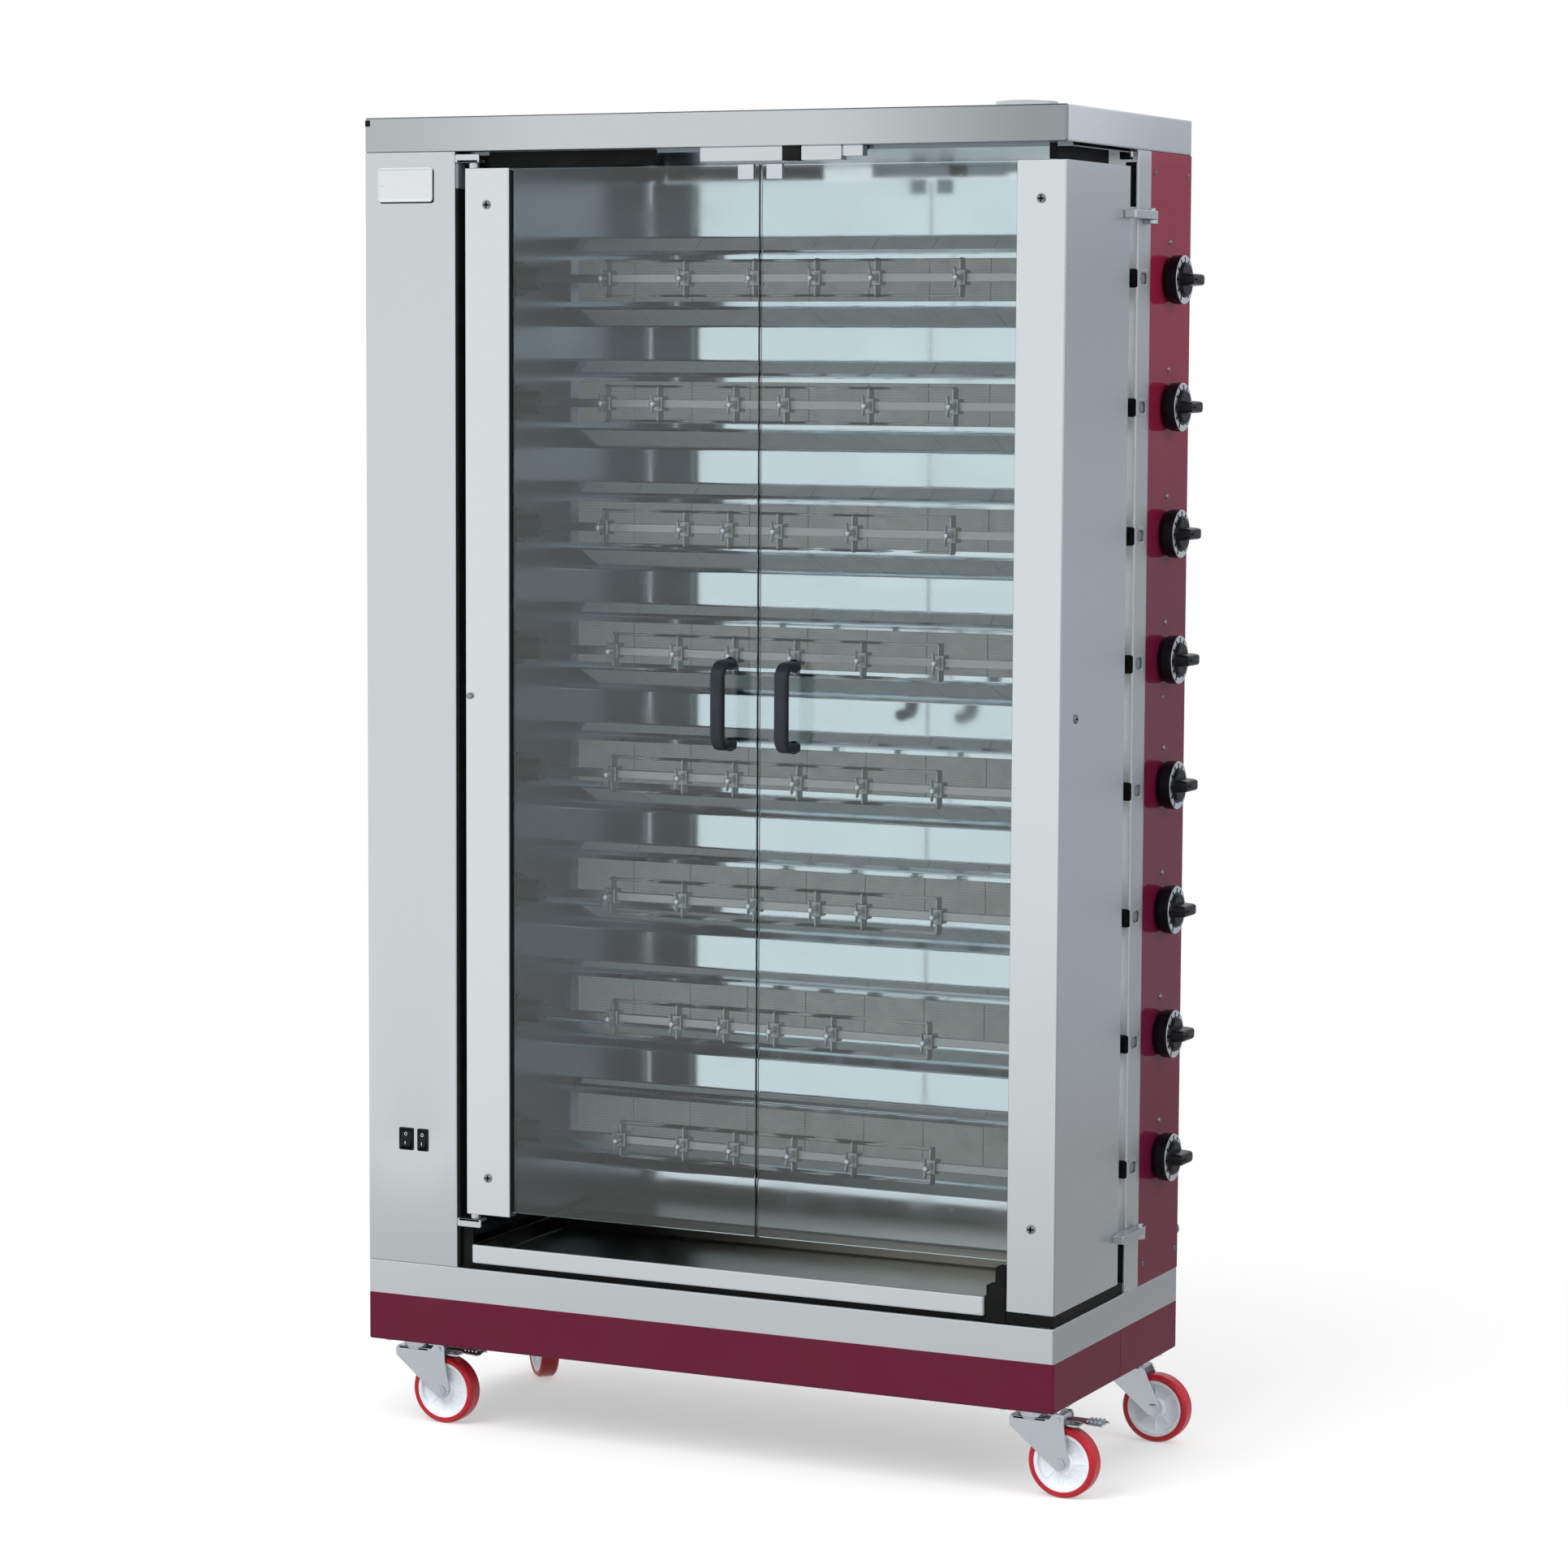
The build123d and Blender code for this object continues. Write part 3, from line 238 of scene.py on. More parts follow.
def makeFloor():
    # White paper: diffuse with a glow for the camera, a tone in reflections that is darker near the object as
    # painted shade and darker at its right side, and clear far off
    s = studio
    tree = newFinish("paper")
    tone = s["floorColour"] + 0.01 * tree.noise(3.0)
    colour = tree.node("ShaderNodeCombineColor", {0: tone, 1: tone, 2: tone})["Color"]
    plain = tree.node("ShaderNodeBsdfDiffuse", {"Color": colour})[0]
    glow = tree.node("ShaderNodeEmission", {"Strength": rays(tree, False) * s["floorGlow"]})[0]
    direct = tree.node("ShaderNodeAddShader", {0: plain, 1: glow})[0]
    place = tree.node("ShaderNodeTexCoord")["Object"]
    distance = tree.node("ShaderNodeVectorMath", {0: place}, operation="LENGTH")["Value"]
    # Painted shade: the floor's glow in reflections is dimmer near the object
    gain = tree.step(distance, *s["nearToFar"]) * (s["floorFar"] - s["floorNearShade"]) + s["floorNearShade"]
    rightShare = tree.step(tree.axes()[0], *s["rightFrom"])
    gain = gain * (1 - rightShare) + s["floorRight"] * rightShare
    reflection = tree.node("ShaderNodeEmission", {"Strength": gain})[0]
    glossy = tree.node("ShaderNodeLightPath")["Is Glossy Ray"]
    both = tree.node("ShaderNodeMixShader", {0: glossy, 1: direct, 2: reflection})[0]
    clear = tree.node("ShaderNodeBsdfTransparent")[0]
    gone = tree.step(distance, *s["floorFade"]) * (1 - glossy)
    gone = gone + tree.step(distance, *s["mirrorFade"]) * glossy * (1 - rightShare)
    fading = tree.node("ShaderNodeMixShader", {0: gone, 1: both, 2: clear})[0]
    tree.node("ShaderNodeOutputMaterial", {"Surface": fading})

    turn = np.linspace(0, 2 * math.pi, 64, endpoint=False)
    rim = np.stack([s["floorRadius"] * np.cos(turn), s["floorRadius"] * np.sin(turn), 0 * turn], 1)
    mesh = bpy.data.meshes.new("floor")
    mesh.from_pydata(rim.tolist(), [], [list(range(64))])
    mesh.materials.append(finishes["paper"])
    put("floor", mesh)


def addLamp(name, place, size, power):
    lamp = put(name, bpy.data.lights.new(name, "AREA"))
    lamp.data.size = size
    lamp.data.energy = power
    lamp.visible_glossy = False
    lamp.visible_transmission = False
    aim(lamp, place, studio["target"])


def addCard(name, place, facing, width, height, tone, change):
    # A card whose tone changes along its height
    tree = newFinish(name)
    colour = tree.mix(tree.step(tree.axes()[1], *change), *tone)
    grey = tree.node("ShaderNodeEmission", {"Color": colour, "Strength": 1.0})[0]
    tree.node("ShaderNodeOutputMaterial", {"Surface": grey})
    corners = np.array([[-1, -1, 0], [1, -1, 0], [1, 1, 0], [-1, 1, 0]]) * [width / 2, height / 2, 1]
    mesh = bpy.data.meshes.new(name)
    mesh.from_pydata(corners.tolist(), [], [[0, 1, 2, 3]])
    mesh.materials.append(finishes[name])
    card = put(name, mesh)
    card.visible_camera = False
    card.visible_diffuse = False
    card.visible_shadow = False
    aim(card, place, np.array(place) + np.array(facing))


bpy.context.scene.view_settings.view_transform = "Standard"
makeCamera()
makeWorld()
makeFloor()
for name, values in studio["lamps"].items():
    addLamp(name, *values)
for name, values in studio["cards"].items():
    addCard(name, *values)
print("studio ready")


# Finishes

def shown(red, green, blue):
    # A colour as it is seen, 0 to 255, turned into the light that the shaders count in
    c = np.array([red, green, blue]) / 255
    light = np.where(c <= 0.04045, c / 12.92, ((c + 0.055) / 1.055) ** 2.4)
    return (*light.tolist(), 1.0)


def scaled(colour, gain, more=0.0):
    return tuple(gain * channel + more for channel in colour[:3]) + (1.0,)


def finish(tree, **varying):
    # Constants sit on the shader's own sockets, and what varies is linked
    values = {key.replace("_", " ").title(): value for key, value in {**tree.constants, **varying}.items()}
    for short, full in (("Ior", "IOR"), ("Specular", "Specular IOR Level")):
        if short in values:
            values[full] = values.pop(short)
    surface = tree.node("ShaderNodeBsdfPrincipled", values)[0]
    tree.node("ShaderNodeOutputMaterial", {"Surface": surface})


def brushedSteel(name, colour, along, rough):
    # Fine lines along the grain, broad smudges, and a few stains
    tree = newFinish(name, metallic=1.0)
    lines, wide, smudge = tree.grain(along), tree.grain(along, 90.0), tree.noise(5.0, 4.0)
    tone = tree.mix(0.5 * lines + 0.3 * wide + 0.2 * smudge, scaled(colour, 0.95), colour)
    finish(tree, base_color=tone, roughness=rough + 0.05 * (lines - 0.5) + 0.06 * (smudge - 0.5),
           normal=tree.bump(lines, 0.00004, 0.04))


def mirrorSteel(name, colour, rough):
    # A polished sheet that is nearly flat: slow waves in it, a light haze, and fat specks
    tree = newFinish(name, metallic=1.0)
    slow, haze = tree.noise(2.6, 1.0, (1, 1, 1.4)), tree.noise(11.0, 5.0)
    speck = tree.step(tree.noise(120.0), 0.66, 0.74)
    finish(tree, base_color=tree.mix(haze, colour, scaled(colour, 0.9)),
           roughness=rough + 0.07 * tree.step(haze, 0.45, 0.8) + 0.04 * speck,
           normal=tree.bump(slow, 0.00003, 1.0))


def powderPaint(name, colour, rough, shine=0.32):
    # Even paint with orange peel, and a little dust that lightens it
    tree = newFinish(name, specular=shine)
    dust = tree.noise(9.0, 5.0, (1, 1, 1.5))
    finish(tree, base_color=tree.mix(dust, colour, scaled(colour, 0.9, 0.012)),
           roughness=rough + 0.10 * (dust - 0.5), normal=tree.bump(tree.noise(420.0), 0.00006, 0.6))


def mouldedPlastic(name, colour, rough, shine=0.4):
    # Spark-eroded grain, a little rubbed
    tree = newFinish(name, specular=shine)
    rub = tree.noise(26.0, 3.0)
    finish(tree, base_color=tree.mix(tree.step(rub, 0.35, 0.8), colour, scaled(colour, 1.25, 0.004)),
           roughness=rough + 0.14 * (rub - 0.5), normal=tree.bump(tree.noise(1800.0, 3.0), 0.00003, 0.5))


def zincPlate(name, colour, rough):
    # Small spangles, with a faint yellow and blue cast
    tree = newFinish(name, metallic=1.0)
    cells = tree.node("ShaderNodeTexVoronoi", {"Vector": tree.coords(), "Scale": 420.0})
    warm = (colour[0] * 1.02, colour[1] * 0.99, colour[2] * 0.93, 1.0)
    cool = (colour[0] * 0.95, colour[1] * 0.99, colour[2] * 1.03, 1.0)
    spot = tree.node("ShaderNodeSeparateColor", {0: cells["Color"]})["Red"]
    finish(tree, base_color=tree.mix(tree.noise(35.0, 3.0), warm, cool), roughness=rough + 0.05 * (spot - 0.5))


def frameSteel():
    # Brushed steel with painted shade: the front is darker low down, the side is darker at the top
    tree = newFinish("frameSteel", metallic=1.0)
    y, z = tree.axes()[1:]
    lines = tree.grain("z")
    front = 1 - tree.step(y, -0.2315, -0.2285)
    paintedShade = front * (1 - tree.step(z, 0.35, 1.1)) + (1 - front) * tree.step(z, 1.3, 1.75)
    tone = tree.mix(paintedShade, shown(217, 222, 225), shown(203, 208, 211))
    finish(tree, base_color=tree.mix(0.1 * lines + 0.1 * tree.noise(5.0, 4.0), tone, shown(186, 191, 194)),
           roughness=0.26 + 0.04 * lines, normal=tree.bump(lines, 0.00004, 0.03))


def cornerSteel():
    # Brushed sheet with painted light and shade: the flange, which faces the front, is paler than the side, which
    # faces right
    tree = newFinish("cornerSteel", metallic=0.85)
    lines = tree.grain("z")
    tone = tree.mix(tree.step(tree.axes()[0], 0.5146, 0.5158), shown(238, 241, 243), shown(196, 200, 203))
    finish(tree, base_color=tree.mix(0.1 * lines, tone, shown(160, 164, 168)), roughness=0.42 + 0.06 * lines)


def brownedAndShaded(tree, share):
    # Steel that baked fat has browned, mixed from dark to light; its callers make it dark at the left as painted
    # shade
    return tree.mix(share, shown(44, 42, 39), shown(172, 169, 162))


def trayEnamel():
    # Painted shade: darkest at the left, with blots
    tree = newFinish("trayEnamel", metallic=0.8)
    blots = tree.noise(14.0, 5.0)
    share = tree.step(tree.axes()[0], -0.3, 0.3) + 0.25 * (blots - 0.5)
    share = share.math("MAXIMUM", 0.0).math("MINIMUM", 1.0)
    finish(tree, base_color=brownedAndShaded(tree, share), roughness=0.28 + 0.05 * blots)


def panSteel():
    # Brushed steel on the front lip, browned behind it, with painted shade that darkens the brown towards the left
    tree = newFinish("panSteel", metallic=0.9)
    x, y = tree.axes()[:2]
    behind = tree.step(y, -0.2312, -0.2296)
    brownShadedLeft = brownedAndShaded(tree, tree.step(x, -0.3, 0.2))
    finish(tree, base_color=tree.mix(behind, shown(210, 215, 218), brownShadedLeft),
           roughness=0.30 + 0.2 * behind + 0.04 * tree.grain("x"))


def glossBurgundy():
    # Smooth burgundy enamel with painted light: redder and lighter towards the top, with a little dust
    tree = newFinish("glossBurgundy", specular=0.17, roughness=0.08)
    dust = tree.noise(9.0, 5.0, (1, 1, 1.5))
    tone = tree.mix(tree.step(tree.axes()[2], 1.15, 1.75), shown(94, 4, 44), shown(130, 12, 48))
    finish(tree, base_color=tree.mix(0.06 * dust, tone, shown(150, 130, 130)),
           normal=tree.bump(tree.noise(420.0), 0.00001, 0.6))


def canopySteel():
    # Brushed steel with painted shade: the front is darker towards its ends, the sides towards the back
    tree = newFinish("canopySteel", metallic=1.0)
    x, y = tree.axes()[:2]
    lines = tree.grain("x", 900.0, 3.0)
    front = 1 - tree.step(y, -0.230, -0.224)
    right, left = tree.step(x, 0.12, 0.5), 1 - tree.step(x, -0.57, -0.25)
    plain = tree.mix(tree.step(y, -0.22, 0.2), shown(236, 240, 243), shown(206, 211, 215))
    plain = tree.mix(front, plain, shown(200, 205, 208))
    paintedShade = tree.mix(front * (0.9 * right + 0.4 * left), plain, shown(142, 147, 150))
    finish(tree, base_color=tree.mix(0.08 * lines, paintedShade, shown(150, 154, 158)),
           roughness=0.27 + 0.06 * lines, normal=tree.bump(lines, 0.00004, 0.04))


plaqueHoles = {"pitch": 2.9, "radius": 0.27, "soft": 0.06, "body": (212, 214, 210), "hole": (150, 147, 142)}


def plaqueCeramic():
    # Rows of burner holes, half a step apart in every other row, in a mottled body with painted light that makes it
    # paler at the left
    s = plaqueHoles
    tree = newFinish("plaqueCeramic", specular=0.15)
    x, z = tree.axes()[::2]
    up = z * (1000 / (s["pitch"] * 0.866))
    shift = up.math("FLOOR").math("MODULO", 2.0) * 0.5
    u = (x * (1000 / s["pitch"]) + shift).math("FRACT") - 0.5
    v = up.math("FRACT") - 0.5
    hole = 1 - tree.step((u * u + v * v).math("SQRT"), s["radius"] - s["soft"], s["radius"] + s["soft"])
    mottle = tree.noise(38.0, 5.0)
    colour = shown(*s["body"])
    body = tree.mix(tree.step(mottle, 0.3, 0.7), colour, scaled(colour, 1.18))
    # Painted light: the body is paler towards the left
    body = tree.mix(0.9 - 0.9 * tree.step(x, -0.42, 0.0), body, shown(246, 248, 246))
    finish(tree, base_color=tree.mix(hole, body, shown(*s["hole"])), roughness=0.86 + 0.08 * mottle,
           normal=tree.bump(1 - hole, 0.0006, 0.7))


def doorGlass():
    # Clear toughened glass with a blue-green cast, and a few smears that are only rougher
    tree = newFinish("doorGlass", transmission_weight=1.0, ior=1.46, base_color=shown(242, 249, 250))
    finish(tree, roughness=0.02 * tree.step(tree.noise(7.0, 5.0, (1, 1, 0.5)), 0.66, 0.85))


def dialRing():
    # Turned aluminium
    tree = newFinish("dialRing", metallic=1.0)
    fine = tree.noise(1400.0)
    finish(tree, base_color=tree.mix(fine, shown(222, 227, 232), shown(240, 244, 248)),
           roughness=0.34 + 0.10 * fine)


# Kind, colour as it is seen, grain where it is brushed, roughness, and for some a gloss
plainFinishes = {
    "steelFront": (brushedSteel, (208, 213, 216), "z", 0.30),
    "steelLevel": (brushedSteel, (208, 213, 216), "x", 0.30),
    "steelSide": (brushedSteel, (205, 210, 213), "z", 0.28),
    "steelDoor": (brushedSteel, (218, 223, 226), "z", 0.28),
    "spitSteel": (brushedSteel, (160, 162, 160), "x", 0.34),
    "brass": (brushedSteel, (200, 168, 96), "x", 0.28),
    "linerSteel": (mirrorSteel, (116, 125, 132), 0.2),
    "steelMirror": (mirrorSteel, (218, 228, 232), 0.07),
    "burgundy": (powderPaint, (96, 12, 46), 0.42, 0.16),
    "plateWhite": (powderPaint, (194, 197, 198), 0.35),
    "motorGrey": (powderPaint, (112, 118, 124), 0.5),
    "blackGrip": (mouldedPlastic, (24, 29, 36), 0.42),
    "blackKnob": (mouldedPlastic, (9, 10, 15), 0.34, 0.22),
    "blackRubber": (mouldedPlastic, (9, 10, 11), 0.62, 0.16),
    "whiteMark": (mouldedPlastic, (214, 216, 214), 0.5),
    "hubNylon": (mouldedPlastic, (232, 238, 244), 0.45),
    "treadRed": (mouldedPlastic, (178, 22, 38), 0.36),
    "screwSteel": (zincPlate, (150, 154, 158), 0.36),
    "zinc": (zincPlate, (206, 212, 218), 0.30),
    "alloySteel": (zincPlate, (176, 180, 182), 0.45),
    "socketSteel": (zincPlate, (112, 116, 118), 0.5),
    "pipeSteel": (zincPlate, (150, 154, 158), 0.42),
}
for name, (make, colour, *rest) in plainFinishes.items():
    make(name, shown(*colour), *rest)
for make in (frameSteel, cornerSteel, trayEnamel, panSteel, glossBurgundy, canopySteel, plaqueCeramic, doorGlass,
             dialRing):
    make()
print("finishes ready")


# Shapes: each is (points, four-sided faces, other faces)

def unit(v):
    return v / np.maximum(np.linalg.norm(v, axis=-1, keepdims=True), 1e-12)


def roundLine(corners, radius, steps, closed):
    # Each corner becomes an arc whose middle is on its bisector, radius / sin(half angle) away from it.
    # A further point at each side of the arc keeps the straight parts' shading straight.
    p = np.asarray(corners, float)
    a, b = unit(np.roll(p, 1, 0) - p), unit(np.roll(p, -1, 0) - p)
    radius = np.broadcast_to(np.asarray(radius, float), len(p) - (0 if closed else 2))
    radius = radius if closed else np.concatenate([[0], radius, [0]])
    half = np.arccos(np.clip((a * b).sum(1), -1, 1)) / 2
    if not closed:
        half[[0, -1]] = math.pi / 4
    reach = radius / np.tan(half)
    spare = np.linalg.norm(np.roll(p, -1, 0) - p, axis=1) - reach - np.roll(reach, -1)
    before = np.maximum(np.minimum(0.3 * np.roll(spare, 1), 0.25 * radius), 1e-4)[:, None]
    after = np.maximum(np.minimum(0.3 * spare, 0.25 * radius), 1e-4)[:, None]
    middle = p + unit(a + b) * (radius / np.sin(half))[:, None]
    start, end = p + a * reach[:, None], p + b * reach[:, None]
    turn = (math.pi - 2 * half)[:, None, None]
    share = np.linspace(0, 1, steps + 1)[None, :, None]
    bent = (start - middle)[:, None] * np.sin((1 - share) * turn)
    bent = bent + (end - middle)[:, None] * np.sin(share * turn)
    arc = middle[:, None] + bent / np.sin(turn)
    line = np.concatenate([(start + a * before)[:, None], arc, (end + b * after)[:, None]], 1)
    if closed:
        return line.reshape(-1, p.shape[1])
    return np.vstack([p[:1], line[1:-1].reshape(-1, p.shape[1]), p[-1:]])


def roundLoop(corners, radius, steps=3):
    return roundLine(corners, radius, steps, True)


def roundRun(corners, radius, steps=3):
    return roundLine(corners, radius, steps, False)


def rectangle(a, b):
    return np.array([(a[0], b[0]), (a[1], b[0]), (a[1], b[1]), (a[0], b[1])], float)


def circle(middle, radius, count=32):
    turn = np.linspace(0, 2 * math.pi, count, endpoint=False)
    return np.stack([middle[0] + radius * np.cos(turn), middle[1] + radius * np.sin(turn)], 1)


def inset(line, depth, closed=True):
    # Each point moves in by depth, square to its edges: along their mean normal, divided by cos(half the turn)
    before, after = unit(line - np.roll(line, 1, 0)), unit(np.roll(line, -1, 0) - line)
    if not closed:
        before[0], after[-1] = after[0], before[-1]
    mean = unit(before + after)
    normal = np.stack([-mean[:, 1], mean[:, 0]], 1) / (mean * before).sum(1, keepdims=True)
    x, y = line.T
    side = np.sign(np.sum(x * np.roll(y, -1) - y * np.roll(x, -1))) if closed else 1.0
    return line + side * np.multiply.outer(np.atleast_1d(depth), normal)


def lift(axis, a, b, along):
    # Two numbers across an axis and one along it, as points
    order = {"x": (along, a, b), "y": (a, along, b), "z": (a, b, along)}[axis]
    return np.stack(np.broadcast_arrays(*order), -1).astype(float)


def stacked(axis, rows, places):
    # Outlines across an axis, each at its own place along it
    return lift(axis, rows[..., 0], rows[..., 1], np.asarray(places)[:, None])


def surface(rows, across=True, along=False, caps=True):
    # A grid of points: four-sided faces between neighbours, joined up across or along where that is asked
    n, m = rows.shape[:2]
    i = np.arange(n if along else n - 1)[:, None]
    j = np.arange(m if across else m - 1)[None]
    nextI, nextJ = (i + 1) % n, (j + 1) % m
    quads = np.stack(np.broadcast_arrays(i * m + j, i * m + nextJ, nextI * m + nextJ, nextI * m + j), -1)
    ends = [list(range(m))[::-1], list(range((n - 1) * m, n * m))] if across and caps and not along else []
    return rows.reshape(-1, 3), quads.reshape(-1, 4), ends


def joined(shapes):
    points, quads, ends, start = [], [], [], 0
    for p, q, e in shapes:
        points.append(p)
        quads.append(q + start)
        ends += [[index + start for index in end] for end in e]
        start += len(p)
    return np.vstack(points), np.vstack(quads), ends


def copied(shape, offsets):
    # The same shape at each offset
    p, q, e = shape
    offsets = np.atleast_2d(np.asarray(offsets, float))
    starts = np.arange(len(offsets)) * len(p)
    ends = [[index + int(start) for index in end] for start in starts for end in e]
    return (p[None] + offsets[:, None]).reshape(-1, 3), (q[None] + starts[:, None, None]).reshape(-1, 4), ends


def mirrored(shape, axis):
    p = shape[0].copy()
    p[:, axis] = -p[:, axis]
    return p, shape[1], shape[2]


def spun(shape, axis, middle, degrees):
    # Turned about an axis through a point that is given by the other two numbers
    a, b = {"x": (1, 2), "y": (0, 2), "z": (0, 1)}[axis]
    cos, sin = math.cos(math.radians(degrees)), math.sin(math.radians(degrees))
    p = shape[0].copy()
    u, v = shape[0][:, a] - middle[0], shape[0][:, b] - middle[1]
    p[:, a] = middle[0] + u * cos - v * sin
    p[:, b] = middle[1] + u * sin + v * cos
    return p, shape[1], shape[2]


def bar(axis, loop, low, high, edge=0.8, steps=3):
    # An outline carried along an axis: drawn in by edge (1 - sin t) where it has risen edge (1 - cos t),
    # with a further row at each side of the rounding for the flat parts' shading
    t = np.linspace(0, math.pi / 2, steps + 1)
    spare = 1.35 * edge
    depth = np.concatenate([[spare], edge * (1 - np.sin(t)), [0]])
    rise = np.concatenate([[0], edge * (1 - np.cos(t)), [spare]])
    rows = inset(loop, np.concatenate([depth, depth[::-1]]))
    places = np.concatenate([low + rise, high - rise[::-1]])
    return surface(stacked(axis, rows, places))


def slab(x, y, z, edge=0.8, axis="z", corner=0.0):
    a, b, along = {"x": (y, z, x), "y": (x, z, y), "z": (x, y, z)}[axis]
    corner = max(corner, edge * 1.5)
    loop = roundLoop(rectangle(a, b), corner, 4 if corner > 3 else 2)
    return bar(axis, loop, *along, edge, 2)


def turned(axis, middle, profile, sides=40, closed=False):
    # A profile of (place, radius) turned round an axis
    place, radius = np.asarray(profile, float).T[:, :, None]
    turn = np.linspace(0, 2 * math.pi, sides, endpoint=False)
    rows = lift(axis, middle[0] + radius * np.cos(turn), middle[1] + radius * np.sin(turn), place)
    return surface(rows, along=closed)


def lathe(axis, middle, profile, radii, steps=3, sides=24):
    # A solid: its profile leaves the axis and comes back to it, and its corners are rounded
    line = [(profile[0][0], 0.05), *profile, (profile[-1][0], 0.05)]
    return turned(axis, middle, roundRun(line, radii, steps), sides)


def hoop(axis, middle, profile, radii, steps=3, sides=24):
    # A ring with a closed profile whose corners are rounded
    return turned(axis, middle, roundLoop(profile, radii, steps), sides, True)


def framed(corners, radius, section, axis="z", closed=False):
    # A section of (depth, height) carried round an outline, whose corner radius shrinks by depth as it draws in
    corners = np.asarray(corners, float)
    rows = [roundLoop(inset(corners, depth)[0], max(radius - depth, 0.002), 4) for depth in section[:, 0]]
    rows = np.array(rows)
    return surface(stacked(axis, rows, section[:, 1]), along=closed)


def carried(path, section, side, size=None):
    # A section carried along a path: its first number along side, its second square to side and the path
    along = unit(np.gradient(path, axis=0))
    side = np.broadcast_to(np.asarray(side, float), path.shape)
    up = unit(np.cross(side, along))
    size = np.ones(len(path)) if size is None else size
    across = section[None] * size[:, None, None]
    rows = path[:, None] + across[..., :1] * side[:, None] + across[..., 1:] * up[:, None]
    return surface(rows)


def denser(line, count):
    # A closed line of more points, count for each of its edges
    share = np.linspace(0, 1, count, endpoint=False)[:, None]
    return (line[:, None] * (1 - share) + np.roll(line, -1, 0)[:, None] * share).reshape(-1, 2)


def holeSheet(axis, place, a, b, hole, count=8):
    # A flat sheet between a rectangle and a hole in it: points of both at the same angles from its middle
    outer, line = denser(rectangle(a, b), count), denser(hole, 60)
    middle = (hole.min(0) + hole.max(0)) / 2
    angle = np.arctan2(*(line - middle).T[::-1])
    order = np.argsort(angle)
    reach = np.linalg.norm(line - middle, axis=1)
    wanted = np.arctan2(*(outer - middle).T[::-1])
    r = np.interp(wanted, angle[order], reach[order], period=2 * math.pi)
    rows = np.stack([outer, middle + r[:, None] * np.stack([np.cos(wanted), np.sin(wanted)], 1)])
    return surface(lift(axis, rows[..., 0], rows[..., 1], place), caps=False)


def stadium(a, b):
    # A slot with round ends, along its first number
    radius = (b[1] - b[0]) / 2
    return roundLoop(rectangle(a, b), radius * 0.98, 9)


def without(shape, boxes):
    # Leaves out the faces whose middles lie in a box of (x, y, z) ranges
    p, q, e = shape
    middle = p[q].mean(1)
    keep = np.ones(len(q), bool)
    for box in boxes:
        low, high = np.array(box, float).T
        keep &= ~((middle > low) & (middle < high)).all(1)
    return p, q[keep], e


def addPiece(name, body, finishName, shapes, stands=(), wall=0.0, inside=None, bevel=0.0, sharp=32):
    points, quads, ends = joined(shapes)
    mesh = bpy.data.meshes.new(name)
    mesh.from_pydata(((points - drawingShift) / 1000).tolist(), [], quads.tolist() + ends)
    work = bmesh.new()
    work.from_mesh(mesh)
    bmesh.ops.remove_doubles(work, verts=work.verts, dist=0.00001)
    bmesh.ops.dissolve_degenerate(work, dist=0.000001, edges=work.edges)
    bmesh.ops.recalc_face_normals(work, faces=work.faces)
    if inside is not None:      # an open sheet: its faces have to look away from this point
        eye = (np.array(inside) - drawingShift) / 1000
        wrong = [face for face in work.faces if np.dot(face.normal, np.array(face.calc_center_median()) - eye) < 0]
        bmesh.ops.reverse_faces(work, faces=wrong)
    work.to_mesh(mesh)
    work.free()
    piece = put(name, mesh)
    mesh.materials.append(finishes[finishName])
    if wall:
        solid = piece.modifiers.new("wall", "SOLIDIFY")
        solid.thickness = wall / 1000
        solid.offset = -1.0
        solid.use_even_offset = True
    if bevel:
        trim = piece.modifiers.new("edge", "BEVEL")
        trim.width = bevel / 1000
        trim.segments = 2
        trim.limit_method = "ANGLE"
        trim.angle_limit = math.radians(40)
    if wall or bevel:
        shape = bpy.data.meshes.new_from_object(piece.evaluated_get(bpy.context.evaluated_depsgraph_get()))
        piece.modifiers.clear()
        piece.data = shape
        shape.name = name
    piece.data.shade_smooth()
    piece.data.set_sharp_from_angle(angle=math.radians(sharp))
    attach(piece, body)
    if stands:
        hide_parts(*stands)


# Screw heads

screws = {"dome": 0.62, "crossLength": 0.62, "crossWidth": 0.17, "crossDepth": 0.55}


def screwHead(axis, at, face, radius, height, way):
    # Height over the head is a dome, height * (1 - dome * r^2), less a cross where |u| or |v| is narrow
    r = np.concatenate([np.linspace(0.02, 0.7, 9), [0.8, 0.9, 0.97, 1.0]])[:, None]
    turn = np.linspace(0, 2 * math.pi, 48, endpoint=False)[None]
    u, v = r * np.cos(turn), r * np.sin(turn)
    narrow = np.minimum(np.abs(u), np.abs(v)) / screws["crossWidth"]
    reach = np.maximum(np.abs(u), np.abs(v)) / screws["crossLength"]
    cross = np.clip(1.5 - narrow, 0, 1) * np.clip((1.15 - reach) * 5, 0, 1)
    rise = height * (1 - screws["dome"] * r ** 2) - height * screws["crossDepth"] * cross
    rise = np.vstack([rise, np.zeros((1, 48))])
    r = np.vstack([np.broadcast_to(r, (len(r), 48)), np.ones((1, 48))])
    a, b = at[0] + radius * r * np.cos(turn), at[1] + radius * r * np.sin(turn)
    return surface(lift(axis, a, b, face + way * rise))


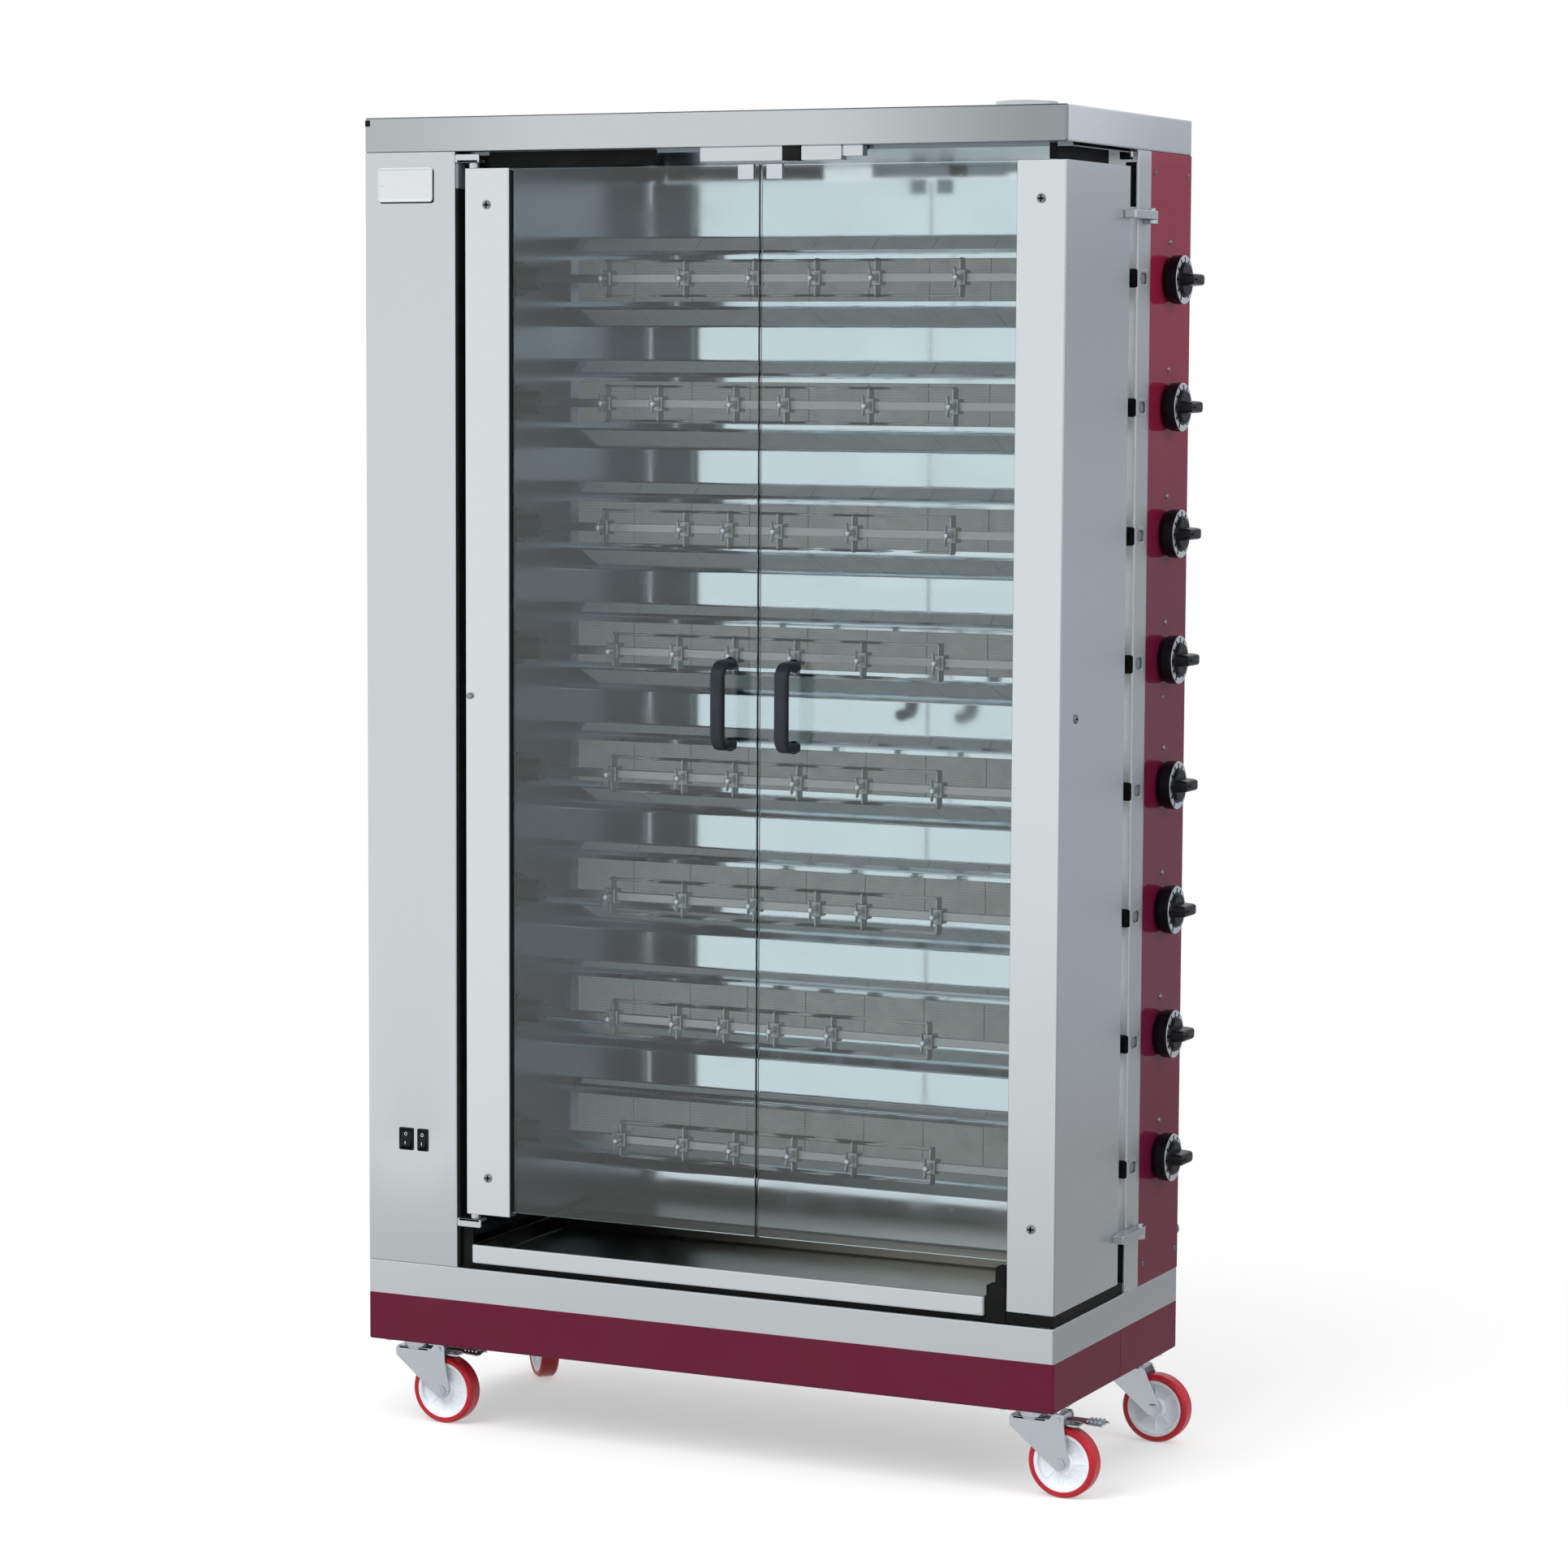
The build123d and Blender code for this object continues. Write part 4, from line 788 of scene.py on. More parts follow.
def screwRecessShade(axis, at, face, radius, height, way):
    # Painted shade in a head's cross recess: two crossed black bars
    shapes = []
    for a, b in ((0.66, 0.2), (0.2, 0.66)):
        box = rectangle((at[0] - a * radius, at[0] + a * radius), (at[1] - b * radius, at[1] + b * radius))
        ends = sorted((face, face + way * 0.66 * height))
        shapes.append(bar(axis, roundLoop(box, 0.09 * radius, 2), *ends, 0.05 * radius, 1))
    return joined(shapes)


def addScrews(name, body, axis, spots, face, size, way):
    for part, shape, material, slot in (("", screwHead, "screwSteel", "zinc"),
                                        ("Sockets", screwRecessShade, "blackRubber", None)):
        addPiece(name + part, body, material, [shape(axis, at, face, *size, way) for at in spots])


def hexHead(axis, at, low, high, radius):
    return bar(axis, circle(at, radius, 6), low, high, 0.5, 2)


def smoothHead(axis, at, face, radius, height, way):
    # A plain dome: a quarter ellipse turned round
    t = np.linspace(0, math.pi / 2, 5)
    profile = np.stack([face + way * height * np.cos(t), np.maximum(radius * np.sin(t), 0.02)], 1)
    return turned(axis, at, profile, 20)


# Base

cabinet = {"x": (-545.0, 545.0), "y": (-240.0, 240.0), "corner": 3.0}
plinth = {"low": 128.0, "high": 198.0, "wall": 2.0, "shelf": 112.0, "bend": 3.0, "joint": 13.4, "jointGap": 1.2}


def makePlinth():
    s = plinth
    (left, right), ys = cabinet["x"], cabinet["y"]
    floor = s["low"] + s["wall"]
    section = roundLoop([(0, s["high"]), (0, s["low"]), (s["shelf"], s["low"]), (s["shelf"], floor),
                         (s["wall"], floor), (s["wall"], s["high"])], [0.6, s["bend"], 0.6, 0.6, 1.0, 0.6])
    shapes = []
    for side, y in zip((-1, 1), ys):
        end = s["joint"] + side * s["jointGap"] / 2
        corners = np.array([(right, end), (right, y), (left, y), (left, end)])
        rows = np.array([roundRun(inset(corners, side * depth, False)[0], max(s["bend"] - depth, 0.002), 5)
                         for depth in section[:, 0]])
        shapes.append(surface(stacked("z", rows, section[:, 1]).transpose(1, 0, 2)))
    # A narrow strip behind the joint, as the front wrap's joggled edge
    for x in (left + 2, right - 3.5):
        shapes.append(slab((x, x + 1.5), (s["joint"] - 15, s["joint"] + 15), (s["low"] + 3, s["high"] - 1), 0.3))
    addPiece("plinthShell", "cabinet", "burgundy", shapes, ["plinth"])


def makeBand():
    section = np.vstack([[(80, 246.5), (1.5, 246.5), (1.5, 198.4)],
                         roundRun([(1.2, 198), (0, 198), (0, 248), (80, 248)], [0.6, 2.2], 4)])
    band = framed(rectangle(cabinet["x"], cabinet["y"]), cabinet["corner"], section)
    addPiece("baseBand", "cabinet", "steelLevel", [band], ["base_band"])


canopy = {"low": 1866.0, "high": 1916.0, "flange": 28.0, "wall": 1.5, "bend": 2.6, "hole": (330.0, 140.0, 45.3)}


def makeCanopy():
    s = canopy
    low, high = s["low"] + s["wall"], s["high"] - s["wall"]
    section = roundLoop([(s["flange"], s["low"]), (0, s["low"]), (0, s["high"]), (20, s["high"]),
                         (20, high), (s["wall"], high), (s["wall"], low), (s["flange"], low)],
                        [0.5, s["bend"], s["bend"], 0.002, 0.002, 1.0, 1.0, 0.5], 4)
    rim = framed(rectangle(cabinet["x"], cabinet["y"]), cabinet["corner"], section, closed=True)
    x, y, radius = s["hole"]
    hole = circle((x, y), radius, 64)
    top = [holeSheet("z", height, (-525, 525), (-220, 220), hole, 16) for height in (s["high"], high)]
    throat = surface(stacked("z", hole[None], [s["high"], high]), caps=False)
    # A small relief cut shows at the front left corner, where the fold meets
    relief = bar("y", roundLoop(rectangle((-544.0, -536.0), (1903.5, 1912.5)), 1.5, 3), -240.5, -239.5, 0.2)
    addPiece("canopyShell", "cabinet", "canopySteel", [rim, *top, throat], ["canopy"])
    addPiece("canopyRelief", "cabinet", "blackRubber", [relief])


flue = {"at": (330.0, 140.0), "radius": 45.0, "wall": 1.5, "low": 1860.5, "high": 1942.0, "flange": 60.0,
        "screws": 53.0}


def makeFlue():
    s = flue
    radius, foot, face = s["radius"], canopy["high"], canopy["high"] + 1.6
    inner = radius - s["wall"]
    shapes = [hoop("z", s["at"], [(s["low"], inner), (s["low"], radius), (s["high"], radius), (s["high"], inner)],
                   [0.3, 0.3, 0.7, 0.7], 3, 72),
              hoop("z", s["at"], [(foot, radius - 1), (foot, s["flange"]), (face, s["flange"]), (face, radius + 3),
                                  (foot + 5, radius + 0.2), (foot + 5, radius - 1)],
                   [0.05, 0.6, 0.6, 2.0, 0.05, 0.05], 3, 72)]
    for angle in np.radians([45, 135, 225, 315]):
        spot = (s["at"][0] + s["screws"] * math.cos(angle), s["at"][1] + s["screws"] * math.sin(angle))
        shapes.append(screwHead("z", spot, face, 3.6, 1.9, 1))
    addPiece("flueCollar", "cabinet", "steelLevel", shapes, ["flue_collar"])


# Column with its switches and name-plate

column = {"x": (-545.0, -396.0), "y": (-240.0, 240.0), "z": (248.0, 1866.0), "bend": 2.6,
          "switches": ((-480.5, 24.0), (-453.0, 18.0)), "switchLevel": 431.5, "switchHeight": 33.0,
          "gland": (-470.0, 300.0), "plate": ((-522, -432), (1795, 1844)), "rivets": (-516.0, -438.0)}


def makeColumn():
    s = column
    loop = roundLoop(rectangle(s["x"], s["y"]), s["bend"], 4)
    cuts = [x + side * (width / 2 - 1.9) for x, width in s["switches"] for side in (-1, 1)]
    front = np.abs(loop[:, 1] - s["y"][0]) < 1e-6
    extra = np.array([(x, s["y"][0]) for x in sorted(cuts)])
    near = np.flatnonzero(front & (loop[:, 0] < extra[0, 0]))
    start = near[np.argmax(loop[near, 0])]
    loop = np.vstack([loop[:start + 1], extra, loop[start + 1:]])
    half = s["switchHeight"] / 2 - 0.7
    low, high = s["switchLevel"] - half, s["switchLevel"] + half
    places = np.array([s["z"][0], low, high, s["z"][1]])
    shell = surface(stacked("z", loop[None], places), caps=False)
    holes = [((x - width / 2 + 1.9, x + width / 2 - 1.9), (-245, -235), (low, high)) for x, width in s["switches"]]
    addPiece("columnCasing", "cabinet", "steelFront", [without(shell, holes)], ["column_casing"],
             wall=1.5, inside=(-470, 0, 1000), bevel=0.3)
    rim = np.array([(0.3, -239.8), (0.0, -240.4), (0.0, -241.6), (0.8, -242.4), (3.0, -242.4), (3.5, -242.1),
                    (5.0, -242.1)])
    plate = framed(rectangle(*s["plate"]), 4.5, rim, axis="y")
    rivets = [smoothHead("y", (x, 1819.5), -242.1, 1.7, 0.7, -1) for x in s["rivets"]]
    addPiece("bareNamePlate", "cabinet", "plateWhite", [plate, *rivets])
    # A black sheet behind the plate, set a little right and down, as a painted shadow at its right and bottom edges
    seat = slab((-520.8, -430.6), (-240.9, -239.9), (1793.4, 1842.6), 0.3, axis="y", corner=4.5)
    addPiece("namePlateShadowRim", "cabinet", "blackRubber", [seat])


rocker = {"tilt": -8.0, "pivotY": -235.0, "crest": 9.5, "dip": 7.0, "half": 12.0, "back": 4.0}


def makeSwitches():
    s = column
    z = s["switchLevel"]
    half = s["switchHeight"] / 2
    section = np.array([(2.2, -212), (2.2, -240), (0.1, -240), (0, -241.2), (0.4, -241.8), (1.0, -242),
                        (2.3, -242), (2.8, -241.6), (3.0, -240.8), (3.0, -226)], float)
    frames = [framed(rectangle((x - width / 2, x + width / 2), (z - half, z + half)), 2.0, section, axis="y")
              for x, width in s["switches"]]
    addPiece("switchFrames", "cabinet", "blackKnob", frames, ["switch_block"])
    at = s["gland"]
    cap = roundRun([(246, 5.3), (246, 13.2), (255, 13.2), (261.8, 9.6), (261.8, 5.3)], [1.0, 3.0, 1.0])
    gland = [hexHead("y", at, 240, 246, 16.6), hexHead("y", at, 232.5, 238.5, 16.6), turned("y", at, cap, 36)]
    addPiece("cableGland", "cabinet", "blackRubber", gland)
    for number, (x, width) in enumerate(s["switches"], 1):
        makeRocker(number, x, width / 2 - 3.3)


def makeRocker(number, x, halfWidth):
    s = rocker
    share = np.linspace(-1, 1, 15)
    face = np.stack([-(s["dip"] + (s["crest"] - s["dip"]) * share ** 2), share * s["half"]], 1)
    loop = np.vstack([face, [(s["back"], s["half"] - 1), (s["back"], 1 - s["half"])]])
    paddle = bar("x", loop, x - halfWidth, x + halfWidth, 0.5, 3)
    line = bar("x", rectangle((-8.6, -8.2), (-8.6, -4.4)), x - 0.5, x + 0.5, 0.1)
    ringTurn = np.linspace(0, 2 * math.pi, 24, endpoint=False)
    ring = np.stack([x + 2.1 * np.cos(ringTurn), -8.35 + 0 * ringTurn, 6.4 + 2.1 * np.sin(ringTurn)], 1)
    path = np.vstack([ring, ring[:2]])
    mark = carried(path, circle((0, 0), 0.4, 8), (0, 1, 0))

    place = (0, s["pivotY"], column["switchLevel"])
    paddle, line, mark = (copied(spun(shape, "x", (0, 0), s["tilt"]), place) for shape in (paddle, line, mark))
    addPiece(f"rockerPaddle{number}", f"rocker_{number}", "blackKnob", [paddle], [f"rocker_{number}"])
    addPiece(f"rockerMarks{number}", f"rocker_{number}", "whiteMark", [line, mark])


# Panels at the right side and the back

tapPanel = {"sheet": ((543.5, 545.0), (79.2, 240.0)), "lip": ((530.0, 545.0), (238.5, 240.2)), "edge": 0.4}


def makeTapPanel():
    sheets = [slab(*tapPanel[key], column["z"], tapPanel["edge"]) for key in ("sheet", "lip")]
    addPiece("tapPanel", "cabinet", "glossBurgundy", sheets, ["tap_panel"])


post = {"x": (497.0, 545.0), "y": (31.0, 79.0), "z": (248.0, 1866.0), "port": (519.0, 541.0), "portHalf": 13.0,
        "slot": (40.0, 68.0), "slotHalf": 8.0, "notch": ((525.0, 541.0), (1787.0, 1849.0))}


def makePost():
    s = post
    corner = roundRun([(s["x"][0], s["y"][0]), (s["x"][1], s["y"][0]), (s["x"][1], s["y"][1])], 2.4, 4)
    extra = np.array([(s["port"][0], s["y"][0]), (s["notch"][0][0], s["y"][0]), (s["port"][1], s["y"][0])])
    cell = (s["slot"][0] - 4, s["slot"][1] + 4)
    side = np.array([(s["x"][1], cell[0]), (s["x"][1], cell[1])])
    run = np.vstack([corner[:1], extra, corner[1:-1], side, corner[-1:]])
    places = [s["z"][0], s["z"][1], *s["notch"][1]]
    for level in levels:
        places += [level - s["portHalf"], level + s["portHalf"]]
    places = np.sort(np.array(places))
    grid = surface(stacked("z", run[None], places), across=False)
    cuts = [(s["notch"][0], (25, 35), s["notch"][1])]
    rings = []
    for level in levels:
        span = (level - s["portHalf"], level + s["portHalf"])
        cuts += [(s["port"], (25, 35), span), ((540, 550), cell, span)]
        slot = stadium(s["slot"], (level - s["slotHalf"], level + s["slotHalf"]))
        rings.append(holeSheet("x", s["x"][1], cell, span, slot))
    addPiece("cornerPost", "cabinet", "cornerSteel", [without(grid, cuts), *rings], ["corner_post"],
             wall=1.5, inside=(300, 300, 1000), bevel=0.25)
    addPiece("spitRestComb", "cabinet", "spitSteel", [makeComb()])


comb = {"x": (498.0, 501.0), "spine": (5.0, 31.0), "arm": -82.1, "spitY": -66.0, "radius": 8.1, "drop": 22.0,
        "rise": 6.0, "end": 90.0}


def makeComb():
    # The comb's outline: for each spit a hook's underside, nose, U-shaped seat and back, one above another
    s = comb
    turn = np.linspace(math.pi, 2 * math.pi, 9)
    seat = np.stack([s["spitY"] + s["radius"] * np.cos(turn), s["radius"] * np.sin(turn)], 1)
    nose = [(s["spine"][0], -s["drop"]), (s["arm"] + 3, -s["drop"]), (s["arm"], -s["drop"] + 3),
            (s["arm"], s["rise"] - 2), (s["arm"] + 2, s["rise"]), (s["spitY"] - s["radius"], s["rise"])]
    tail = [(s["spitY"] + s["radius"], s["rise"]), (s["spine"][0], s["rise"])]
    hook = np.vstack([nose, seat, tail])
    hooks = (hook[None] + np.stack([0 * levels, levels], 1)[::-1][:, None]).reshape(-1, 2)
    ends = [(s["spine"][0], levels[0] + s["end"]), (s["spine"][1], levels[0] + s["end"]),
            (s["spine"][1], levels[-1] - s["end"]), (s["spine"][0], levels[-1] - s["end"])]
    return bar("x", np.vstack([hooks, ends]), *s["x"], 0.3, 2)


vents = {"x": (-396.0, 543.5), "z": (248.0, 1866.0), "length": 90.0, "height": 8.0, "pitch": 150.0,
         "first": -271.25, "hood": 6.0}


def makeBackPanel():
    s = vents
    starts = s["first"] + s["pitch"] * np.arange(5)
    xs, zs = [*s["x"]], [*s["z"]]
    for x in starts:
        xs += [x - 6, x + s["length"] + 6]
    for level in levels:
        zs += [level - 5, level + s["height"] + 5]
    inlet = ((500.0, 543.5), (278.0, 322.0))
    xs, zs = np.unique(xs + [inlet[0][0]]), np.unique(zs + [*inlet[1]])
    grid = surface(lift("y", xs[None, :], zs[:, None], 240.0), across=False)
    cuts, rings, hoods = [(inlet[0], (230, 250), inlet[1])], [], []
    rings.append(holeSheet("y", 240.0, *inlet, circle((528.5, 300), 13.0, 48)))
    u, v = np.meshgrid(np.linspace(-1, 1, 15), np.linspace(0, 1, 5))
    bulge = s["hood"] * np.sin(v * math.pi / 2) * (1 - np.abs(u) ** 5)
    for level in levels:
        for x in starts:
            span = ((x - 6, x + s["length"] + 6), (level - 5, level + s["height"] + 5))
            cuts.append((span[0], (230, 250), span[1]))
            slot = stadium((x, x + s["length"]), (level, level + s["height"]))
            rings.append(holeSheet("y", 240.0, *span, slot, 10))
            middle = x + s["length"] / 2
            hoods.append(surface(lift("y", middle + u * 48, level + 17 - v * 17, 240.0 + bulge), across=False))
    addPiece("backPanel", "cabinet", "steelFront", [without(grid, cuts), *rings], ["back_panel"],
             wall=1.5, inside=(75, 0, 1000), bevel=0.25)
    addPiece("ventHoods", "cabinet", "steelFront", hoods, wall=1.0, inside=(75, -3000, 1000))
    spots = [(x, z) for x in (-386.0, 533.0) for z in np.linspace(262, 1852, 8)]
    spots += [(x, z) for z in (262.0, 1852.0) for x in np.linspace(-200, 350, 4)]
    addScrews("backScrews", "cabinet", "y", spots, 240.0, (4.4, 2.4), 1)


# Chamber

reflector = {"x": (-386.5, 543.5), "window": (-380.0, 480.0), "panel": 64.0, "recess": 108.0, "edge": 39.5,
             "upper": 22.5, "lower": 28.5, "windowHalf": 31.0, "bend": 3.5, "z": (248.0, 1860.5)}


def makeReflector():
    s = reflector
    corners = [(s["panel"], s["z"][1])]
    for level in levels:
        corners += [(s["panel"], level + s["edge"] + s["upper"]), (s["recess"], level + s["edge"]),
                    (s["recess"], level - s["edge"]), (s["panel"], level - s["edge"] - s["lower"])]
    corners.append((s["panel"], s["z"][0]))
    run = roundRun(corners, s["bend"], 4)
    marks = np.array([(s["recess"], level + side * s["windowHalf"]) for level in levels for side in (1, -1)])
    where = [np.flatnonzero(run[:, 1] > z)[-1] + 1 for z in marks[:, 1]]
    run = np.insert(run, where, marks, axis=0)
    xs = np.array([s["x"][0], s["window"][0], s["window"][1], s["x"][1]])
    grid = surface(stacked("x", run[None], xs), across=False)
    cuts = [(s["window"], (100, 112), (level - s["windowHalf"], level + s["windowHalf"])) for level in levels]
    addPiece("reflectorSheet", "cabinet", "steelMirror", [without(grid, cuts)], ["reflector"],
             wall=1.5, inside=(75, 3000, 1000), sharp=60)


plaques = {"x": (-382.0, 482.0), "count": 9, "y": (109.5, 122.5), "half": 33.0, "joint": 0.9}


def makePlaques():
    s = plaques
    length = (s["x"][1] - s["x"][0]) / s["count"]
    one = slab((s["x"][0] + s["joint"] / 2, s["x"][0] + length - s["joint"] / 2), s["y"], (-s["half"], s["half"]),
               0.8, axis="y", corner=1.4)
    offsets = [(length * index, 0, level) for level in levels for index in range(s["count"])]
    addPiece("ceramicPlaques", "cabinet", "plaqueCeramic", [copied(one, offsets)], ["ceramic_tiles"])


tray = {"x": (-372.0, 440.0), "y": (-240.0, 55.0), "z": (256.0, 284.0), "wall": 1.5, "bend": 3.0}


def makeTray():
    s = tray
    low, high = s["z"]
    inner = np.vstack([[(60, low + s["wall"])], roundRun([(20, low + s["wall"]), (s["wall"], low + s["wall"]),
                                                          (s["wall"], high - 4)], 2.5, 4)])
    hem = np.array([(s["wall"], high - 4.0), (3.4, high - 4.2), (3.6, high - 1.0), (2.6, high), (1.0, high),
                    (0.2, high - 0.6), (0, high - 1.6)])
    outer = np.vstack([roundRun([(0, high - 3), (0, low), (20, low)], s["bend"], 4), [(60, low)]])
    pan = framed(rectangle(s["x"], s["y"]), 4.0, np.vstack([inner, hem[1:], outer]))
    addPiece("dripPan", "drip_tray", "panSteel", [pan], ["drip_tray"])
    lining = framed(rectangle((s["x"][0] + 1.7, s["x"][1] - 1.7), (s["y"][0] + 1.7, s["y"][1] - 1.7)), 3.0,
                    np.array([(60, low + 1.7), (3, low + 1.7), (0, low + 5), (0, high - 5), (0.4, high - 5),
                              (0.4, low + 5.2), (3.2, low + 2.2), (60, low + 2.2)]))
    addPiece("panBakedInside", "drip_tray", "trayEnamel", [lining])


# Doors

glassPane = {"y": (-235.0, -229.0), "z": (335.0, 1841.0), "left": (-330.0, 85.5), "right": (88.5, 495.0)}
door = {"top": 1842.0, "leftFoot": 329.0, "rightFoot": 266.0, "bend": 2.2, "front": -240.0,
        "stile": ((-380, -308), (-240, -218)), "seal": ((-308.2, -304.6), (-237.4, -227), (336, 1839)),
        "frame": [(473, -240), (545, -240), (545, 0), (523.5, 0), (523.5, -218), (473, -218)],
        "screwX": (-344.0, 509.0), "screwZ": (1790.0, 384.0), "screwSize": (6.6, 2.8), "sideScrew": (-184.8, 1085.0),
        "button": (-372.0, 1087.0), "pin": (-370.0, -229.0), "strikes": (65.0, 109.0)}


def makeLeftDoor():
    s = door
    stile = bar("z", roundLoop(rectangle(*s["stile"]), s["bend"], 4), s["leftFoot"], s["top"], 0.8)
    addPiece("leftStile", "left_door", "steelDoor", [stile], ["left_door_stile"])
    *sides, ends = s["seal"]
    seal = bar("z", roundLoop(rectangle(*sides), 1.2, 3), *ends, 0.5)
    addPiece("leftSeal", "left_door", "blackRubber", [seal])
    addScrews("leftDoorScrews", "left_door", "y", [(s["screwX"][0], z) for z in s["screwZ"]], s["front"],
              s["screwSize"], -1)
    stopper = lathe("y", s["button"], [(-239, 4.6), (-244.6, 4.6)], [0.1, 1.2], 3, 28)
    addPiece("leftDoorButton", "left_door", "screwSteel", [stopper])
    addPane("left", 0)
    pins = []
    for face, way in ((s["top"], 1), (s["leftFoot"], -1)):
        spacer = [(face, 4.1), (face, 8.0), (face + 7.7 * way, 8.0), (face + 7.7 * way, 4.1)]
        pins += [lathe("z", s["pin"], [(face - 3 * way, 4.0), (face + 14 * way, 4.0)], [0.1, 1.0], 2),
                 hoop("z", s["pin"], spacer, 0.6, 2)]
    addPiece("leftDoorPins", "left_door", "zinc", pins)


def makeRightDoor():
    s = door
    frame = bar("z", roundLoop(s["frame"], s["bend"], 4), s["rightFoot"], s["top"], 0.8)
    addPiece("rightFrame", "right_door", "frameSteel", [frame], ["right_door_frame"])
    addScrews("rightDoorScrews", "right_door", "y", [(s["screwX"][1], z) for z in s["screwZ"]], s["front"],
              s["screwSize"], -1)
    addScrews("sideScrew", "right_door", "x", [s["sideScrew"]], cabinet["x"][1], s["screwSize"], 1)
    addPane("right", 1)
    arms = []
    for top in hinges["rightTops"]:
        outline = roundLoop([(545.7, -24), (562.7, -24), (562.7, 67.5), (545.7, 67.5)], [1.4, 3, 8.4, 8.4], 6)
        arms += [bar("z", outline, top - 12, top, 1.0),
                 slab((544.8, 547.5), (-22.5, -3), (top - 11, top - 1), 0.3)]
    addPiece("rightHingeArms", "right_door", "steelSide", arms)


def addPane(side, number):
    # A door's pane, and the folded clip over its top edge: a U-shaped section carried along X
    body = f"{side}_door"
    pane = slab(glassPane[side], glassPane["y"], glassPane["z"], 0.9, axis="y", corner=3.0)
    addPiece(f"{side}Pane", body, "doorGlass", [pane], [f"{side}_door_glass"])
    y0, y1 = glassPane["y"]
    foot, top, x = 1821.0, glassPane["z"][1], door["strikes"][number]
    loop = roundLoop([(y0 - 1.5, foot), (y0, foot), (y0, top), (y1, top), (y1, foot), (y1 + 1.5, foot),
                      (y1 + 1.5, top + 1.5), (y0 - 1.5, top + 1.5)], [0.6, 0.5, 0.3, 0.3, 0.5, 0.6, 1.4, 1.4], 3)
    addPiece(f"{side}Strike", body, "zinc", [bar("x", loop, x - 12, x + 12, 0.3)])


handle = {"low": 1033.0, "high": 1147.0, "front": -275.0, "glass": -235.0, "corner": 17.0, "half": (10.0, 6.2),
          "places": {"left": 43.0, "right": 142.0}}


def makeHandles():
    s = handle
    path = roundRun([(s["glass"], s["high"]), (s["front"], s["high"]), (s["front"], s["low"]),
                     (s["glass"], s["low"])], s["corner"], 10)
    share = np.linspace(0, 1, len(path))
    size = 1.0 + 0.10 * np.abs(2 * share - 1) ** 6
    a, b = s["half"]
    section = roundLoop(rectangle((-a, a), (-b, b)), [4.6, 4.6, 3.4, 3.4], 5)
    for side, x in s["places"].items():
        points = np.stack([np.full(len(path), x), path[:, 0], path[:, 1]], 1)
        addPiece(f"{side}Handle", f"{side}_door", "blackGrip", [carried(points, section, (1, 0, 0), size)],
                 [f"{side}_door_handle"], sharp=50)
        backs = []
        for z in (s["low"], s["high"]):
            backs += [lathe("y", (x, z), [(-235.9, 9.4), (-234.9, 9.4)], 0.3, 2, 32),
                      lathe("y", (x, z), [(-229, 8), (-226.4, 8), (-225, 6)], [0.1, 0.8, 0.6], 3, 32)]
        addPiece(f"{side}HandleWashers", f"{side}_door", "blackRubber", backs)


# Knobs

knob = {"y": 156.0, "back": 547.0, "face": 567.0, "radius": 35.0, "ringWidth": 10.0, "tip": 590.0,
        "barLength": 52.0, "barWidth": 18.0, "ticks": 11}


def makeKnobs():
    s = knob
    at = (s["y"], 0)
    back, face, tip, radius = s["back"], s["face"], s["tip"], s["radius"]
    inner = radius - s["ringWidth"]
    skirt = [(back, 31.5), (back + 6, 34.4), (face - 0.4, radius), (face + 0.6, radius - 0.4),
             (face + 0.6, inner + 0.2), (face + 5.4, inner - 1.4), (face + 6.2, inner - 4)]
    grip = lathe("x", at, skirt, [1.0, 1.5, 0.5, 0.5, 0.3, 1.2, 1.6], 3, 56)
    half, wide = s["barLength"] / 2, s["barWidth"] / 2
    loop = roundLoop(rectangle((s["y"] - half, s["y"] + half), (-wide, wide)), 6.5, 5)
    draw = 2.2 * np.linspace(0, 1, 9) ** 2 + np.array([0, 0, 0, 0, 0, 0, 0.25, 1.1, 3.0])
    rows = inset(loop, draw)
    places = face + 4 + (tip - face - 4) * np.array([0, .15, .3, .45, .6, .75, .9, .97, 1.0])
    handleBar = surface(stacked("x", rows, places))
    pointer = slab((tip - 0.6, tip), (s["y"] - 20, s["y"] - 6), (-0.9, 0.9), 0.2, axis="x", corner=0.8)
    ring = hoop("x", at, [(face + 0.4, inner + 0.4), (face + 0.4, radius - 0.6), (face + 1.5, radius - 0.9),
                          (face + 1.5, inner + 0.7)], 0.3, 2, 56)
    # Scale marks: short bars on the ring that grow longer round the dial
    marks = []
    for share in np.linspace(0, 1, s["ticks"]):
        bit = slab((face + 1.3, face + 1.8), (26.0, 29.5 + 4.4 * share), (-1.7, 1.7), 0.12, axis="x")
        marks.append(copied(spun(bit, "x", (0, 0), -60 + 300 * share), (0, s["y"], 0)))
    parts = {"Grip": ("blackKnob", "black_plastic", [grip, handleBar]), "Ring": ("dialRing", "stainless", [ring]),
             "Scale": ("blackRubber", "black_plastic", marks), "Pointer": ("whiteMark", None, [pointer])}
    for number, level in enumerate(levels, 1):
        for part, (material, slot, shapes) in parts.items():
            addPiece(f"knob{part}{number}", f"knob_{number}", material, [copied(x, (0, 0, level)) for x in shapes],
                     [f"knob_{number}"] if part == "Grip" else ())


# Spits

spit = {"y": -66.0, "rodStart": -373.5, "rodEnd": 492.0, "rod": 12.0, "prong": 60.0, "spread": 6.0, "rise": 25.0,
        "forks": ((135, 262, 373, 470, 564, 694), (135, 220, 343, 423, 555, 685), (131, 263, 334, 413, 531, 683),
                  (148, 253, 343, 441, 546, 666), (145, 261, 343, 446, 549, 665), (144, 261, 377, 476, 549, 666),
                  (148, 253, 330, 411, 503, 653), (161, 264, 347, 441, 536, 659))}


